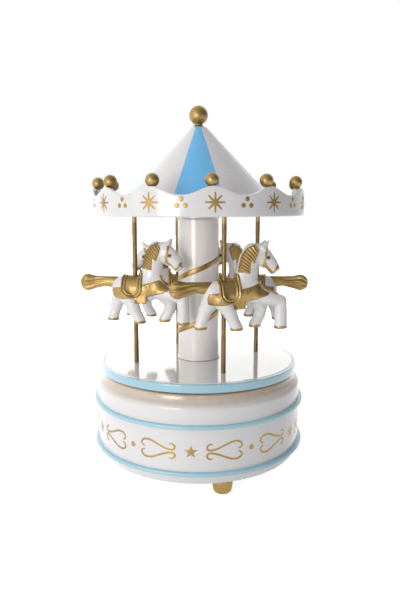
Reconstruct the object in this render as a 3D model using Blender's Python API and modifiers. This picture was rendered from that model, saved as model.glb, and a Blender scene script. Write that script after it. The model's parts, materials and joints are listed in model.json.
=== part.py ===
"""Carousel music box: a drum base with a cylinder movement and a turning carousel.

All dimensions below are in millimetres; MM turns them into metres when a shape is made.
The origin is the centre of the plane the feet stand on, +Z is up, and the front is -Y.
"""
import math

import bmesh
import bpy
from mathutils import Matrix, Vector

MM = 0.001
GAP = 0.3
ROUND_STEPS = 40

# Overall form
TOTAL_HEIGHT = 180.0
DRUM_RADIUS = 51.5
DRUM_BOTTOM = 9.6
BAND_RADIUS = 53.4
BAND_HEIGHT = 2.1
LOWER_BAND_Z = 14.1
UPPER_BAND_Z = 35.6
WALL = 1.8
SHOULDER_Z = 46.4
COLLAR_RADIUS = 48.3
LID_TOP = 49.8

# Feet
FOOT_COUNT = 3
FOOT_CIRCLE = 40.6
FOOT_RADIUS = 4.85
FOOT_AZIMUTH = 16.0

# Carousel
PLATFORM_BOTTOM = 50.7
PLATFORM_TOP = 55.0
PLATFORM_RADIUS = 49.8
RIM_BAND_WIDTH = 1.3
COLUMN_RADIUS = 10.3
COLUMN_TOP = 125.5
COLLAR_OUTER = 10.7
CANOPY_BOTTOM = 127.3
CROWN_RADIUS = 52.0
CROWN_WALL = 1.6
CROWN_VALLEY = 137.0
CROWN_CREST = 140.1
CREST_COUNT = 12
CREST_AZIMUTH = 7.3
BALL_RADIUS = 2.8
BALL_CIRCLE = 49.0
ROOF_TOP = 170.0
ROOF_TOP_RADIUS = 3.9
ROOF_SLOPE = 0.955
ROOF_BOTTOM = 129.6
ROOF_SIDES = 40
FINIAL_RADIUS = 4.6
RIBBON_PITCH = 26.5
RIBBON_WIDTH = 2.7
RIBBON_TURNS = 1.55
RIBBON_START_Z = 66.2
RIBBON_START_AZIMUTH = -115.0

# Poles and horses
POLE_COUNT = 4
POLE_CIRCLE = 32.9
POLE_RADIUS = 1.1
POLE_AZIMUTH = 20.6
HORSE_BORE = 1.4
HOOF_Z = 75.5
HORSE_HEADINGS = (14.4, 170.0, 190.0, -10.0)
HORSE_DROPS = (0.0, 2.2, 4.0, 0.0)      # how far each horse sits below HOOF_Z on its pole
HORSE_SETBACKS = (-1.0, 0.0, 0.0, 1.5)  # how far each horse sits behind its pole
HORSE_VOXEL = 0.85
HORSE_DETAIL = 0.042

# Movement
TRAY_THICKNESS = 2.0
PLATE_BOTTOM = 13.0
PLATE_TOP = 15.0
BARREL_RADIUS = 10.4
CROWN_WHEEL_TEETH = 36
CROWN_WHEEL_MEAN = 12.5
CROWN_WHEEL_TOP = 30.6
TOOTH_DEPTH = 1.1
DRIVE_PINION_TEETH = 12
CYLINDER_AXIS_Z = 34.27
CYLINDER_RADIUS = 6.5
CYLINDER_START = 16.4
CYLINDER_LENGTH = 19.0
CYLINDER_WHEEL_TEETH = 24
CYLINDER_WHEEL_PITCH = 7.5
TRAIN_PINION_TEETH = 6
TRAIN_Y = 8.5
WORM_WHEEL_TEETH = 16
WORM_WHEEL_PITCH = 4.0
WORM_X = 42.1
WORM_RADIUS = 1.7
COMB_TEETH = 18

COLOURS = {
    "white_plastic": ((0.86, 0.85, 0.83), 0.28, 0.0),
    "blue_plastic": ((0.38, 0.66, 0.80), 0.30, 0.0),
    "gold_paint": ((0.50, 0.35, 0.12), 0.38, 0.85),
    "brass": ((0.72, 0.55, 0.24), 0.30, 1.0),
    "steel": ((0.60, 0.60, 0.62), 0.28, 1.0),
    "dark_steel": ((0.22, 0.22, 0.24), 0.40, 1.0),
    "zinc": ((0.52, 0.53, 0.55), 0.45, 1.0),
}


def clear_scene():
    for obj in list(bpy.data.objects):
        bpy.data.objects.remove(obj, do_unlink=True)


def make_collection(name):
    collection = bpy.data.collections.new(name)
    bpy.context.scene.collection.children.link(collection)
    return collection


def make_material(name):
    colour, roughness, metallic = COLOURS[name]
    material = bpy.data.materials.new(name)
    material.use_nodes = True
    shader = material.node_tree.nodes["Principled BSDF"]
    shader.inputs["Base Color"].default_value = (*colour, 1.0)
    shader.inputs["Roughness"].default_value = roughness
    shader.inputs["Metallic"].default_value = metallic
    return material


def place_azimuth(radius, azimuth):
    """A point on a circle, with azimuth counted from the front towards the right."""
    angle = math.radians(azimuth)
    return Vector((radius * math.sin(angle), -radius * math.cos(angle), 0.0))


class Builder:
    """Makes named objects from millimetre dimensions."""

    def __init__(self):
        self.parts = make_collection("carousel_music_box")
        self.cutters = make_collection("cutters")
        self.materials = {name: make_material(name) for name in COLOURS}

    def add(self, name, mesh, material, smooth_angle=35.0):
        mesh.materials.clear()
        mesh.materials.append(self.materials[material])
        mesh.shade_smooth()
        mesh.set_sharp_from_angle(angle=math.radians(smooth_angle))
        obj = bpy.data.objects.new(name, mesh)
        self.parts.objects.link(obj)
        return obj

    def from_bmesh(self, name, bm, material, smooth_angle=35.0):
        bmesh.ops.scale(bm, vec=(MM, MM, MM), verts=bm.verts)
        mesh = bpy.data.meshes.new(name)
        bm.to_mesh(mesh)
        bm.free()
        return self.add(name, mesh, material, smooth_angle)

    def turned(self, name, profile, material, steps=32, closed=False):
        """Turn a profile of (radius, height) points about the Z axis."""
        mesh = bpy.data.meshes.new(name)
        points = [(radius * MM, 0.0, height * MM) for radius, height in profile]
        edges = [(index, index + 1) for index in range(len(points) - 1)]
        if closed:
            edges.append((len(points) - 1, 0))
        mesh.from_pydata(points, edges, [])
        obj = self.add(name, mesh, material)
        screw = obj.modifiers.new("turn", "SCREW")
        screw.axis = "Z"
        screw.steps = steps
        screw.render_steps = steps
        screw.use_merge_vertices = True
        screw.merge_threshold = 0.00001
        screw.use_smooth_shade = True
        return obj

    def ring(self, name, inner, outer, bottom, top, material, steps=32, rounding=0.0):
        """A turned ring with a rectangular section, its outer corners rounded."""
        profile = [(inner, top), (outer - rounding, top)]
        if rounding:
            profile += corner(outer - rounding, top - rounding, rounding, 90.0, 0.0, steps=1)
            profile += corner(outer - rounding, bottom + rounding, rounding, 0.0, -90.0, steps=1)
        else:
            profile += [(outer, top), (outer, bottom)]
        profile += [(outer - rounding, bottom), (inner, bottom)]
        return self.turned(name, distinct(profile), material, steps, closed=True)

    def plate(self, name, loops, bottom, thickness, material):
        """A flat plate from closed outlines, of which the inner ones are holes."""
        curve = bpy.data.curves.new(name, "CURVE")
        curve.dimensions = "2D"
        curve.fill_mode = "BOTH"
        curve.extrude = 0.5 * thickness * MM
        for loop in loops:
            spline = curve.splines.new("POLY")
            spline.points.add(len(loop) - 1)
            for point, (x, y) in zip(spline.points, loop):
                point.co = (x * MM, y * MM, 0.0, 1.0)
            spline.use_cyclic_u = True
        outline = bpy.data.objects.new(name + "_outline", curve)
        self.parts.objects.link(outline)
        obj = self.from_curve(name, outline, material)
        obj.location.z = (bottom + 0.5 * thickness) * MM
        return obj

    def from_curve(self, name, source, material):
        """Turn a curve object into a welded mesh object and remove the curve."""
        bpy.context.view_layer.update()
        graph = bpy.context.evaluated_depsgraph_get()
        mesh = bpy.data.meshes.new_from_object(source.evaluated_get(graph))
        bm = bmesh.new()
        bm.from_mesh(mesh)
        bmesh.ops.remove_doubles(bm, verts=bm.verts, dist=0.000001)
        bm.to_mesh(mesh)
        bm.free()
        obj = self.add(name, mesh, material)
        obj.matrix_world = source.matrix_world.copy()
        bpy.data.objects.remove(source, do_unlink=True)
        return obj

    def cutter(self, name, bm):
        bmesh.ops.scale(bm, vec=(MM, MM, MM), verts=bm.verts)
        mesh = bpy.data.meshes.new(name)
        bm.to_mesh(mesh)
        bm.free()
        obj = bpy.data.objects.new(name, mesh)
        obj.hide_render = True
        obj.display_type = "WIRE"
        self.cutters.objects.link(obj)
        return obj

    def use_as_tool(self, obj):
        """Move a finished piece among the cutters, so that another can be joined with it."""
        obj.hide_render = True
        obj.display_type = "WIRE"
        self.parts.objects.unlink(obj)
        self.cutters.objects.link(obj)

    def boolean(self, target, tool, operation):
        modifier = target.modifiers.new(operation.lower(), "BOOLEAN")
        modifier.operation = operation
        modifier.solver = "EXACT"
        modifier.object = tool

    def drill(self, target, places, radius, bottom, top, segments=16):
        """Cut upright round holes of one size at the given (x, y) places."""
        bm = bmesh.new()
        for x, y in places:
            add_rod(bm, (x, y, bottom), (x, y, top), radius, segments=segments)
        self.boolean(target, self.cutter(target.name + "_holes", bm), "DIFFERENCE")

    def screws(self, name, places, head_bottom, shank_end):
        """Pan-headed screws with a slot, one object each."""
        profile = [(0.0, head_bottom + 1.2), (1.6, head_bottom + 1.2), (1.9, head_bottom + 0.8)]
        profile += [(1.9, head_bottom), (0.75, head_bottom), (0.75, shank_end), (0.0, shank_end)]
        for index, (x, y) in enumerate(places):
            screw = self.turned("%s_%d" % (name, index + 1), profile, "steel", steps=8)
            screw.location = (x * MM, y * MM, 0.0)
            slot = bmesh.new()
            add_box(slot, (x, y, head_bottom + 1.2), (5.0, 0.5, 0.9))
            self.boolean(screw, self.cutter(screw.name + "_slot", slot), "DIFFERENCE")


def corner(centre_x, centre_z, radius, start, end, steps=2):
    """Points of a rounded corner from one angle to another, in degrees."""
    points = []
    for step in range(steps + 1):
        angle = math.radians(start + (end - start) * step / steps)
        points.append((centre_x + radius * math.cos(angle), centre_z + radius * math.sin(angle)))
    return points


def distinct(points):
    """Drop points that repeat the one before them."""
    kept = [points[0]]
    for point in points[1:]:
        if math.dist(point, kept[-1]) > 0.001:
            kept.append(point)
    return kept


def circle_points(centre_x, centre_y, radius, count=12):
    return [(centre_x + radius * math.cos(2.0 * math.pi * step / count),
             centre_y + radius * math.sin(2.0 * math.pi * step / count)) for step in range(count)]


def add_rod(bm, start, end, radius, end_radius=None, segments=16):
    """Add a closed cylinder or cone between two points."""
    start = Vector(start)
    end = Vector(end)
    direction = end - start
    turn = direction.to_track_quat("Z", "Y").to_matrix().to_4x4()
    matrix = Matrix.Translation((start + end) * 0.5) @ turn
    bmesh.ops.create_cone(bm, cap_ends=True, segments=segments, radius1=radius,
                          radius2=radius if end_radius is None else end_radius,
                          depth=direction.length, matrix=matrix)


def add_box(bm, centre, size):
    matrix = Matrix.Translation(centre) @ Matrix.Diagonal((*size, 1.0))
    bmesh.ops.create_cube(bm, size=1.0, matrix=matrix)


def merge_into(target, source):
    mesh = bpy.data.meshes.new("merge")
    source.to_mesh(mesh)
    source.free()
    target.from_mesh(mesh)
    bpy.data.meshes.remove(mesh)


def gear_outline(teeth, pitch_radius, depth, tooth_share, phase=0.0):
    """A toothed wheel's outline; a tooth is centred on the angle phase, in degrees."""
    root = pitch_radius - 0.55 * depth
    tip = pitch_radius + 0.45 * depth
    step = 2.0 * math.pi / teeth
    points = []
    for tooth in range(teeth):
        middle = math.radians(phase) + tooth * step
        for radius, offset in ((root, -0.72), (tip, -0.32), (tip, 0.32), (root, 0.72)):
            angle = middle + offset * tooth_share * step
            points.append((radius * math.cos(angle), radius * math.sin(angle)))
    return points


def lay_on_x_axis(obj, start, y, z):
    """Stand a plate made in the XY plane on the X axis, its lower face at start."""
    half = obj.location.z
    obj.rotation_euler = (math.radians(90.0), 0.0, math.radians(90.0))
    obj.location = (start * MM + half, y * MM, z * MM)


# Base -----------------------------------------------------------------------

def make_drum(build):
    inner = DRUM_RADIUS - WALL
    seam = UPPER_BAND_Z + 0.5 * BAND_HEIGHT
    wall = [(DRUM_RADIUS, seam - GAP), (DRUM_RADIUS, LOWER_BAND_Z)]
    wall += corner(DRUM_RADIUS - 2.6, DRUM_BOTTOM + 2.6, 2.6, 0.0, -70.0)
    wall += [(inner + 0.1, DRUM_BOTTOM), (inner, DRUM_BOTTOM + 0.4), (inner, seam - GAP)]
    drum = build.turned("drum_wall", wall, "white_plastic", steps=ROUND_STEPS, closed=True)
    ribs = bmesh.new()
    bosses = bmesh.new()
    pilots = bmesh.new()
    floor = DRUM_BOTTOM + TRAY_THICKNESS + GAP
    for place in foot_places():
        boss = bmesh.new()
        add_box(boss, (0.5 * (FOOT_CIRCLE + inner + 0.6), 0.0, floor + 5.0), (inner + 0.6 - FOOT_CIRCLE, 2.4, 10.0))
        turn = Matrix.Rotation(math.atan2(place.y, place.x), 4, "Z")
        bmesh.ops.transform(boss, matrix=turn, verts=boss.verts)
        merge_into(ribs, boss)
        add_rod(bosses, (place.x, place.y, floor), (place.x, place.y, floor + 12.0), 3.6)
        add_rod(pilots, (place.x, place.y, floor - 2.0), (place.x, place.y, floor + 9.0), 1.9)
    build.boolean(drum, build.cutter("drum_ribs", ribs), "UNION")
    build.boolean(drum, build.cutter("drum_bosses", bosses), "UNION")
    build.boolean(drum, build.cutter("drum_pilots", pilots), "DIFFERENCE")

    lid = [(COLLAR_RADIUS - 0.8, LID_TOP)]
    lid += [(COLLAR_RADIUS, LID_TOP - 0.8), (COLLAR_RADIUS, SHOULDER_Z + 0.5)]
    lid += corner(DRUM_RADIUS - 1.6, SHOULDER_Z - 1.6, 1.6, 80.0, 0.0)
    lid += [(DRUM_RADIUS, seam), (inner, seam), (inner, SHOULDER_Z - 3.4)]
    lid += [(COLLAR_RADIUS - WALL, SHOULDER_Z - 1.2), (COLLAR_RADIUS - WALL, LID_TOP - WALL)]
    lid += [(2.4, LID_TOP - WALL), (2.4, LID_TOP)]
    build.turned("drum_lid", distinct(lid), "white_plastic", steps=ROUND_STEPS, closed=True)

    for name, bottom in (("lower_band", LOWER_BAND_Z), ("upper_band", UPPER_BAND_Z)):
        build.ring(name, DRUM_RADIUS + GAP, BAND_RADIUS, bottom, bottom + BAND_HEIGHT,
                   "blue_plastic", steps=ROUND_STEPS, rounding=0.8)


def foot_places():
    spacing = 360.0 / FOOT_COUNT
    return [place_azimuth(FOOT_CIRCLE, FOOT_AZIMUTH + index * spacing) for index in range(FOOT_COUNT)]


def plate_screw_places():
    return [(-13.0, 10.0), (-13.0, -10.0), (31.0, 10.5), (12.5, -21.5)]


def make_tray(build):
    top = DRUM_BOTTOM + TRAY_THICKNESS
    radius = DRUM_RADIUS - WALL - 0.5
    profile = [(3.2, top), (radius, top), (radius, DRUM_BOTTOM), (3.2, DRUM_BOTTOM)]
    tray = build.turned("base_tray", profile, "white_plastic", steps=32, closed=True)
    pads = bmesh.new()
    for x, y in plate_screw_places():
        add_rod(pads, (x, y, DRUM_BOTTOM + 0.5), (x, y, PLATE_BOTTOM - GAP), 3.0)
    build.boolean(tray, build.cutter("tray_pads", pads), "UNION")
    build.drill(tray, [place[:2] for place in foot_places()], 1.9, DRUM_BOTTOM - 1.0, top + 1.0)
    build.drill(tray, plate_screw_places(), 1.1, DRUM_BOTTOM + 0.8, PLATE_BOTTOM + 1.0, segments=12)


def make_feet(build):
    top = DRUM_BOTTOM - GAP
    profile = [(0.0, top + 9.4), (1.6, top + 9.4), (1.6, top), (FOOT_RADIUS, top)]
    profile += [(FOOT_RADIUS, 4.2), (FOOT_RADIUS - 0.35, 3.0), (FOOT_RADIUS - 0.8, 1.6)]
    profile += [(FOOT_RADIUS - 1.4, 0.6), (FOOT_RADIUS - 2.1, 0.0), (0.0, 0.0)]
    for index, place in enumerate(foot_places()):
        foot = build.turned("foot_%d" % (index + 1), profile, "gold_paint", steps=16)
        foot.location = (place.x * MM, place.y * MM, 0.0)


def make_fasteners(build):
    build.screws("plate_screw", plate_screw_places(), PLATE_TOP + GAP, 11.4)
    build.screws("comb_screw", comb_screw_places(), CYLINDER_AXIS_Z + 0.4 + GAP, 29.0)


# Movement -------------------------------------------------------------------

def comb_screw_places():
    return [(CYLINDER_START + 4.5, -21.6), (CYLINDER_START + CYLINDER_LENGTH - 4.5, -21.6)]


def make_bedplate(build):
    outline = [(-17.0, -14.0), (7.0, -14.0), (10.0, -27.0), (38.0, -27.0), (46.0, -9.0), (46.0, 11.5),
               (40.0, 14.0), (-17.0, 14.0)]
    holes = [circle_points(0.0, 0.0, 2.6)]
    holes += [circle_points(x, y, 1.1, 8) for x, y in plate_screw_places()]
    plate = build.plate("bedplate", [outline] + holes, PLATE_BOTTOM, PLATE_TOP - PLATE_BOTTOM, "zinc")
    support = bmesh.new()
    top = CYLINDER_AXIS_Z - 0.4 - GAP
    middle = CYLINDER_START + 0.5 * CYLINDER_LENGTH
    add_box(support, (middle, -21.7, 0.5 * (top + 14.0)), (CYLINDER_LENGTH - 0.2, 8.2, top - 14.0))
    build.boolean(plate, build.cutter("comb_support", support), "UNION")
    build.drill(plate, comb_screw_places(), 1.1, 28.0, top + 1.0, segments=12)
    add_bearing_posts(build, plate)


def add_bearing_posts(build, plate):
    """Upright posts of the bedplate casting, with the bearings of the two arbors."""
    foot = PLATE_TOP - 0.6
    near = [(-4.2, foot), (4.2, foot), (4.2, 33.0), (2.6, 37.4), (-2.6, 37.4), (-4.2, 33.0)]
    far = [(-4.2, foot), (11.6, foot), (11.6, 31.4), (4.2, 37.4), (-2.6, 37.4), (-4.2, 33.0)]
    train = [(5.4, foot), (11.6, foot), (11.6, 31.4), (9.6, 33.2), (7.4, 33.2), (5.4, 31.4)]
    cylinder_hole = circle_points(0.0, CYLINDER_AXIS_Z, 1.3)
    train_hole = circle_points(TRAIN_Y, train_axis_z(), 0.95, 16)
    for name, start, loops in (("near_post", 14.5, [near, cylinder_hole]),
                               ("far_post", 36.2, [far, cylinder_hole, train_hole]),
                               ("train_post", 44.2, [train, train_hole])):
        post = build.plate(name, loops, 0.0, 1.1, "zinc")
        lay_on_x_axis(post, start, 0.0, 0.0)
        build.use_as_tool(post)
        build.boolean(plate, post, "UNION")


def make_governor_frame(build):
    """A C-shaped frame that carries the upright fly shaft."""
    low = PLATE_TOP + GAP
    worm_y = worm_place_y()
    back = worm_y - 5.6
    front = worm_y + 2.0
    outline = [(front, low), (front, low + 1.1), (back + 1.1, low + 1.1), (back + 1.1, 36.2), (front, 36.2),
               (front, 37.3), (back, 37.3), (back, low)]
    frame = build.plate("governor_frame", [outline[::-1]], 0.0, 3.0, "zinc")
    lay_on_x_axis(frame, WORM_X - 1.5, 0.0, 0.0)
    bm = bmesh.new()
    add_rod(bm, (WORM_X, worm_y, low - 1.0), (WORM_X, worm_y, 40.0), 0.85, segments=12)
    build.boolean(frame, build.cutter("fly_shaft_holes", bm), "DIFFERENCE")


def make_comb(build):
    start = CYLINDER_START + 0.1
    length = CYLINDER_LENGTH - 0.2
    pitch = length / COMB_TEETH
    tip = -(CYLINDER_RADIUS + 1.15)
    outline = [(start, -26.0), (start, -16.4)]
    for tooth in range(COMB_TEETH):
        left = start + tooth * pitch + 0.12 * pitch
        right = start + (tooth + 1) * pitch - 0.12 * pitch
        root = -16.4 + 2.6 * tooth / (COMB_TEETH - 1)
        outline += [(left, root), (left, tip), (right, tip), (right, root)]
    outline += [(start + length, -13.8), (start + length, -26.0)]
    holes = [circle_points(x, y, 1.1, 8) for x, y in comb_screw_places()]
    build.plate("comb", [outline] + holes, CYLINDER_AXIS_Z - 0.4, 0.8, "steel")


def make_winding(build):
    shaft = [(0.0, 29.3), (1.2, 29.3), (1.2, 3.6), (0.0, 3.6)]
    build.turned("winding_shaft", shaft, "dark_steel", steps=16)
    key = bmesh.new()
    add_rod(key, (0.0, 0.0, 2.6), (0.0, 0.0, 8.9), 3.2, segments=20)
    obj = build.from_bmesh("winding_key", key, "brass")
    web = bmesh.new()
    add_box(web, (0.0, 0.0, 5.4), (20.0, 1.6, 4.4))
    build.boolean(obj, build.cutter("key_web", web), "UNION")
    wings = bmesh.new()
    for side in (-1.0, 1.0):
        add_rod(wings, (side * 9.9, -1.0, 5.4), (side * 9.9, 1.0, 5.4), 2.6, segments=20)
    build.boolean(obj, build.cutter("key_wings", wings), "UNION")
    build.drill(obj, [(0.0, 0.0)], 1.5, 3.3, 10.0, segments=16)


def make_barrel(build):
    barrel = [(2.4, 29.9), (BARREL_RADIUS, 29.9), (BARREL_RADIUS, 18.0), (3.0, 18.0), (3.0, 18.9)]
    barrel += [(BARREL_RADIUS - 0.9, 18.9), (BARREL_RADIUS - 0.9, 29.0), (2.4, 29.0)]
    build.turned("spring_barrel", barrel, "brass", steps=32, closed=True)

    strip = bmesh.new()
    count = 75
    bmesh.ops.create_grid(strip, x_segments=count, y_segments=1, size=1.0)
    for vert in strip.verts:
        along = 0.5 * (vert.co.x + 1.0)
        angle = 2.0 * math.pi * 6.25 * along
        radius = 2.6 + 6.1 * along
        height = 23.9 + 4.3 * vert.co.y
        vert.co = (radius * math.cos(angle), radius * math.sin(angle), height)
    spring = build.from_bmesh("mainspring", strip, "dark_steel")
    solid = spring.modifiers.new("thickness", "SOLIDIFY")
    solid.thickness = 0.35 * MM
    solid.offset = 0.0

    bm = bmesh.new()
    low = (11.0, 13.3)
    crest = (11.85, 13.15)
    segments = 2 * CROWN_WHEEL_TEETH
    base = CROWN_WHEEL_TOP - TOOTH_DEPTH
    half_step = math.pi / segments
    rings = []
    for radius, height in ((low[0], base - 1.6), (low[1], base - 1.6), (crest[1], base), (crest[0], base)):
        ring = []
        for index in range(segments):
            angle = 2.0 * math.pi * index / segments + half_step
            ring.append(bm.verts.new((radius * math.cos(angle), radius * math.sin(angle), height)))
        rings.append(ring)
    toothed = []
    for first in range(len(rings)):
        second = (first + 1) % len(rings)
        for index in range(segments):
            after = (index + 1) % segments
            face = bm.faces.new((rings[first][index], rings[first][after],
                                 rings[second][after], rings[second][index]))
            if first == 2 and index % 2 == 0:
                toothed.append(face)
    bmesh.ops.recalc_face_normals(bm, faces=bm.faces)
    for face in toothed:
        raised = bmesh.ops.extrude_discrete_faces(bm, faces=[face])["faces"][0]
        for vert in raised.verts:
            vert.co.z = CROWN_WHEEL_TOP
    build.from_bmesh("crown_wheel", bm, "brass")

    spindle = [(0.0, 53.4), (1.6, 53.4), (2.0, 53.0), (2.0, 31.4), (4.4, 31.4), (4.4, 30.2), (0.0, 30.2)]
    build.turned("drive_spindle", spindle, "steel", steps=20)


def train_axis_z():
    centres = CYLINDER_WHEEL_PITCH * (1.0 + TRAIN_PINION_TEETH / CYLINDER_WHEEL_TEETH)
    return CYLINDER_AXIS_Z - math.sqrt(centres ** 2 - TRAIN_Y ** 2)


def worm_place_y():
    return TRAIN_Y - WORM_WHEEL_PITCH - 1.45


def make_shaft(build, name, start, end, y, z, radius, material):
    bm = bmesh.new()
    add_rod(bm, (start, y, z), (end, y, z), radius, segments=12)
    return build.from_bmesh(name, bm, material)


def make_toothed_wheel(build, name, outline, bore, start, width, y, z, material):
    wheel = build.plate(name, [outline, circle_points(0.0, 0.0, bore, 16)], 0.0, width, material)
    lay_on_x_axis(wheel, start, y, z)
    return wheel


def make_cylinder(build):
    bm = bmesh.new()
    end = CYLINDER_START + CYLINDER_LENGTH
    add_rod(bm, (CYLINDER_START, 0.0, CYLINDER_AXIS_Z), (end, 0.0, CYLINDER_AXIS_Z), CYLINDER_RADIUS, segments=24)
    drum = build.from_bmesh("pin_cylinder", bm, "brass")
    pins = bmesh.new()
    tracks = COMB_TEETH
    for track in range(tracks):
        x = CYLINDER_START + (track + 0.5) * CYLINDER_LENGTH / tracks
        for note in range(2):
            angle = 2.0 * math.pi * ((0.381966 * track + note * 0.3433 + 0.11) % 1.0)
            outward = Vector((0.0, math.cos(angle), math.sin(angle)))
            foot = Vector((x, 0.0, CYLINDER_AXIS_Z)) + outward * (CYLINDER_RADIUS - 0.6)
            add_rod(pins, foot, foot + outward * 1.2, 0.16, segments=4)
    build.boolean(drum, build.cutter("cylinder_pins", pins), "UNION")
    bore = bmesh.new()
    add_rod(bore, (CYLINDER_START - 1.0, 0.0, CYLINDER_AXIS_Z), (end + 1.0, 0.0, CYLINDER_AXIS_Z), 1.3)
    build.boolean(drum, build.cutter("cylinder_bore", bore), "DIFFERENCE")
    make_shaft(build, "cylinder_arbor", 11.3, 40.2, 0.0, CYLINDER_AXIS_Z, 1.0, "steel")

    pitch = 2.0 * math.pi * CROWN_WHEEL_MEAN / CROWN_WHEEL_TEETH
    pinion_pitch = pitch * DRIVE_PINION_TEETH / (2.0 * math.pi)
    outline = gear_outline(DRIVE_PINION_TEETH, pinion_pitch, 0.95, 0.28, phase=-90.0)
    make_toothed_wheel(build, "drive_pinion", outline, 1.3, 11.9, 1.2, 0.0, CYLINDER_AXIS_Z, "brass")
    mesh_angle = math.degrees(math.atan2(train_axis_z() - CYLINDER_AXIS_Z, TRAIN_Y))
    outline = gear_outline(CYLINDER_WHEEL_TEETH, CYLINDER_WHEEL_PITCH, 0.8, 0.36, phase=mesh_angle)
    make_toothed_wheel(build, "cylinder_wheel", outline, 1.3, 38.0, 1.5, 0.0, CYLINDER_AXIS_Z, "brass")


def make_train(build):
    z = train_axis_z()
    pinion_pitch = CYLINDER_WHEEL_PITCH * TRAIN_PINION_TEETH / CYLINDER_WHEEL_TEETH
    mesh_angle = math.degrees(math.atan2(CYLINDER_AXIS_Z - z, -TRAIN_Y))
    phase = mesh_angle + 180.0 / TRAIN_PINION_TEETH
    outline = gear_outline(TRAIN_PINION_TEETH, pinion_pitch, 0.8, 0.34, phase=phase)
    pinion = make_toothed_wheel(build, "pinion_leaves", outline, 0.4, 38.0, 1.5, TRAIN_Y, z, "steel")
    build.use_as_tool(pinion)
    arbor = make_shaft(build, "train_arbor", 35.9, 45.8, TRAIN_Y, z, 0.62, "steel")
    build.boolean(arbor, pinion, "UNION")
    phase = 180.0 + 180.0 / WORM_WHEEL_TEETH
    outline = gear_outline(WORM_WHEEL_TEETH, WORM_WHEEL_PITCH, 0.62, 0.30, phase=phase)
    make_toothed_wheel(build, "worm_wheel", outline, 0.95, WORM_X - 0.6, 1.2, TRAIN_Y, z, "brass")


def make_fly(build):
    y = worm_place_y()
    pitch = 2.0 * math.pi * WORM_WHEEL_PITCH / WORM_WHEEL_TEETH
    core = 1.05
    bm = bmesh.new()
    add_rod(bm, (WORM_X, y, 15.6), (WORM_X, y, 37.0), 0.6, segments=12)
    shaft = build.from_bmesh("worm_shaft", bm, "steel")
    body = bmesh.new()
    add_rod(body, (WORM_X, y, 26.6), (WORM_X, y, 34.0), core, segments=16)
    build.boolean(shaft, build.cutter("worm_core", body), "UNION")
    turns = 3
    steps = 10
    thread = bmesh.new()
    bmesh.ops.create_grid(thread, x_segments=turns * steps, y_segments=1, size=1.0)
    start_z = train_axis_z() - 0.5 * turns * pitch
    for vert in thread.verts:
        turn = 0.5 * (vert.co.x + 1.0) * turns
        outer = vert.co.y > 0.0
        radius = WORM_RADIUS if outer else core - 0.25
        angle = 2.0 * math.pi * turn + math.radians(90.0) - math.pi * turns
        vert.co = (WORM_X + radius * math.cos(angle), y + radius * math.sin(angle), start_z + turn * pitch)
    ridge = build.cutter("worm_thread", thread)
    solid = ridge.modifiers.new("thickness", "SOLIDIFY")
    solid.thickness = 0.26 * MM
    solid.offset = 0.0
    build.boolean(shaft, ridge, "UNION")

    vane = bmesh.new()
    add_rod(vane, (WORM_X, y, 18.6), (WORM_X, y, 23.6), 1.6, segments=16)
    obj = build.from_bmesh("fly_vane", vane, "zinc")
    blades = bmesh.new()
    add_box(blades, (WORM_X, y, 21.1), (5.8, 0.5, 4.4))
    build.boolean(obj, build.cutter("fly_blades", blades), "UNION")
    build.drill(obj, [(WORM_X, y)], 0.9, 17.0, 25.0, segments=12)


# Carousel -------------------------------------------------------------------

def pole_places():
    spacing = 360.0 / POLE_COUNT
    return [place_azimuth(POLE_CIRCLE, POLE_AZIMUTH + index * spacing) for index in range(POLE_COUNT)]


def make_platform(build):
    disc = PLATFORM_RADIUS - RIM_BAND_WIDTH - GAP
    profile = [(0.0, PLATFORM_TOP)]
    profile += corner(disc - 0.7, PLATFORM_TOP - 0.7, 0.7, 90.0, 0.0)
    profile += [(disc, PLATFORM_BOTTOM), (2.3, PLATFORM_BOTTOM), (2.3, 53.7), (0.0, 53.7)]
    platform = build.turned("platform", profile, "white_plastic", steps=ROUND_STEPS)
    build.drill(platform, [place[:2] for place in pole_places()], POLE_RADIUS + GAP, PLATFORM_BOTTOM - 1.0,
                PLATFORM_TOP + 1.0, segments=16)
    build.ring("platform_band", disc + GAP, PLATFORM_RADIUS, PLATFORM_BOTTOM + 0.2, PLATFORM_TOP - 0.2,
               "blue_plastic", steps=ROUND_STEPS, rounding=0.6)


def make_column(build):
    tube = 1.6
    bottom = PLATFORM_TOP + GAP
    build.ring("column", COLUMN_RADIUS - tube, COLUMN_RADIUS, bottom, COLUMN_TOP, "white_plastic",
               steps=32)
    collar = [(COLUMN_RADIUS - tube, CANOPY_BOTTOM + 0.2), (COLLAR_OUTER, CANOPY_BOTTOM + 0.2)]
    collar += [(COLLAR_OUTER, COLUMN_TOP + GAP), (COLUMN_RADIUS - tube, COLUMN_TOP + GAP)]
    build.turned("column_collar", collar, "white_plastic", steps=32, closed=True)

    strip = bmesh.new()
    bmesh.ops.create_grid(strip, x_segments=int(RIBBON_TURNS * 32), y_segments=1, size=1.0)
    radius = COLUMN_RADIUS + GAP
    for vert in strip.verts:
        turn = 0.5 * (vert.co.x + 1.0) * RIBBON_TURNS
        place = place_azimuth(radius, RIBBON_START_AZIMUTH + 360.0 * turn)
        height = RIBBON_START_Z + RIBBON_PITCH * turn + 0.5 * RIBBON_WIDTH * vert.co.y
        vert.co = (place.x, place.y, height)
    ribbon = build.from_bmesh("column_ribbon", strip, "gold_paint")
    solid = ribbon.modifiers.new("thickness", "SOLIDIFY")
    solid.thickness = 0.3 * MM
    solid.offset = 1.0


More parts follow.
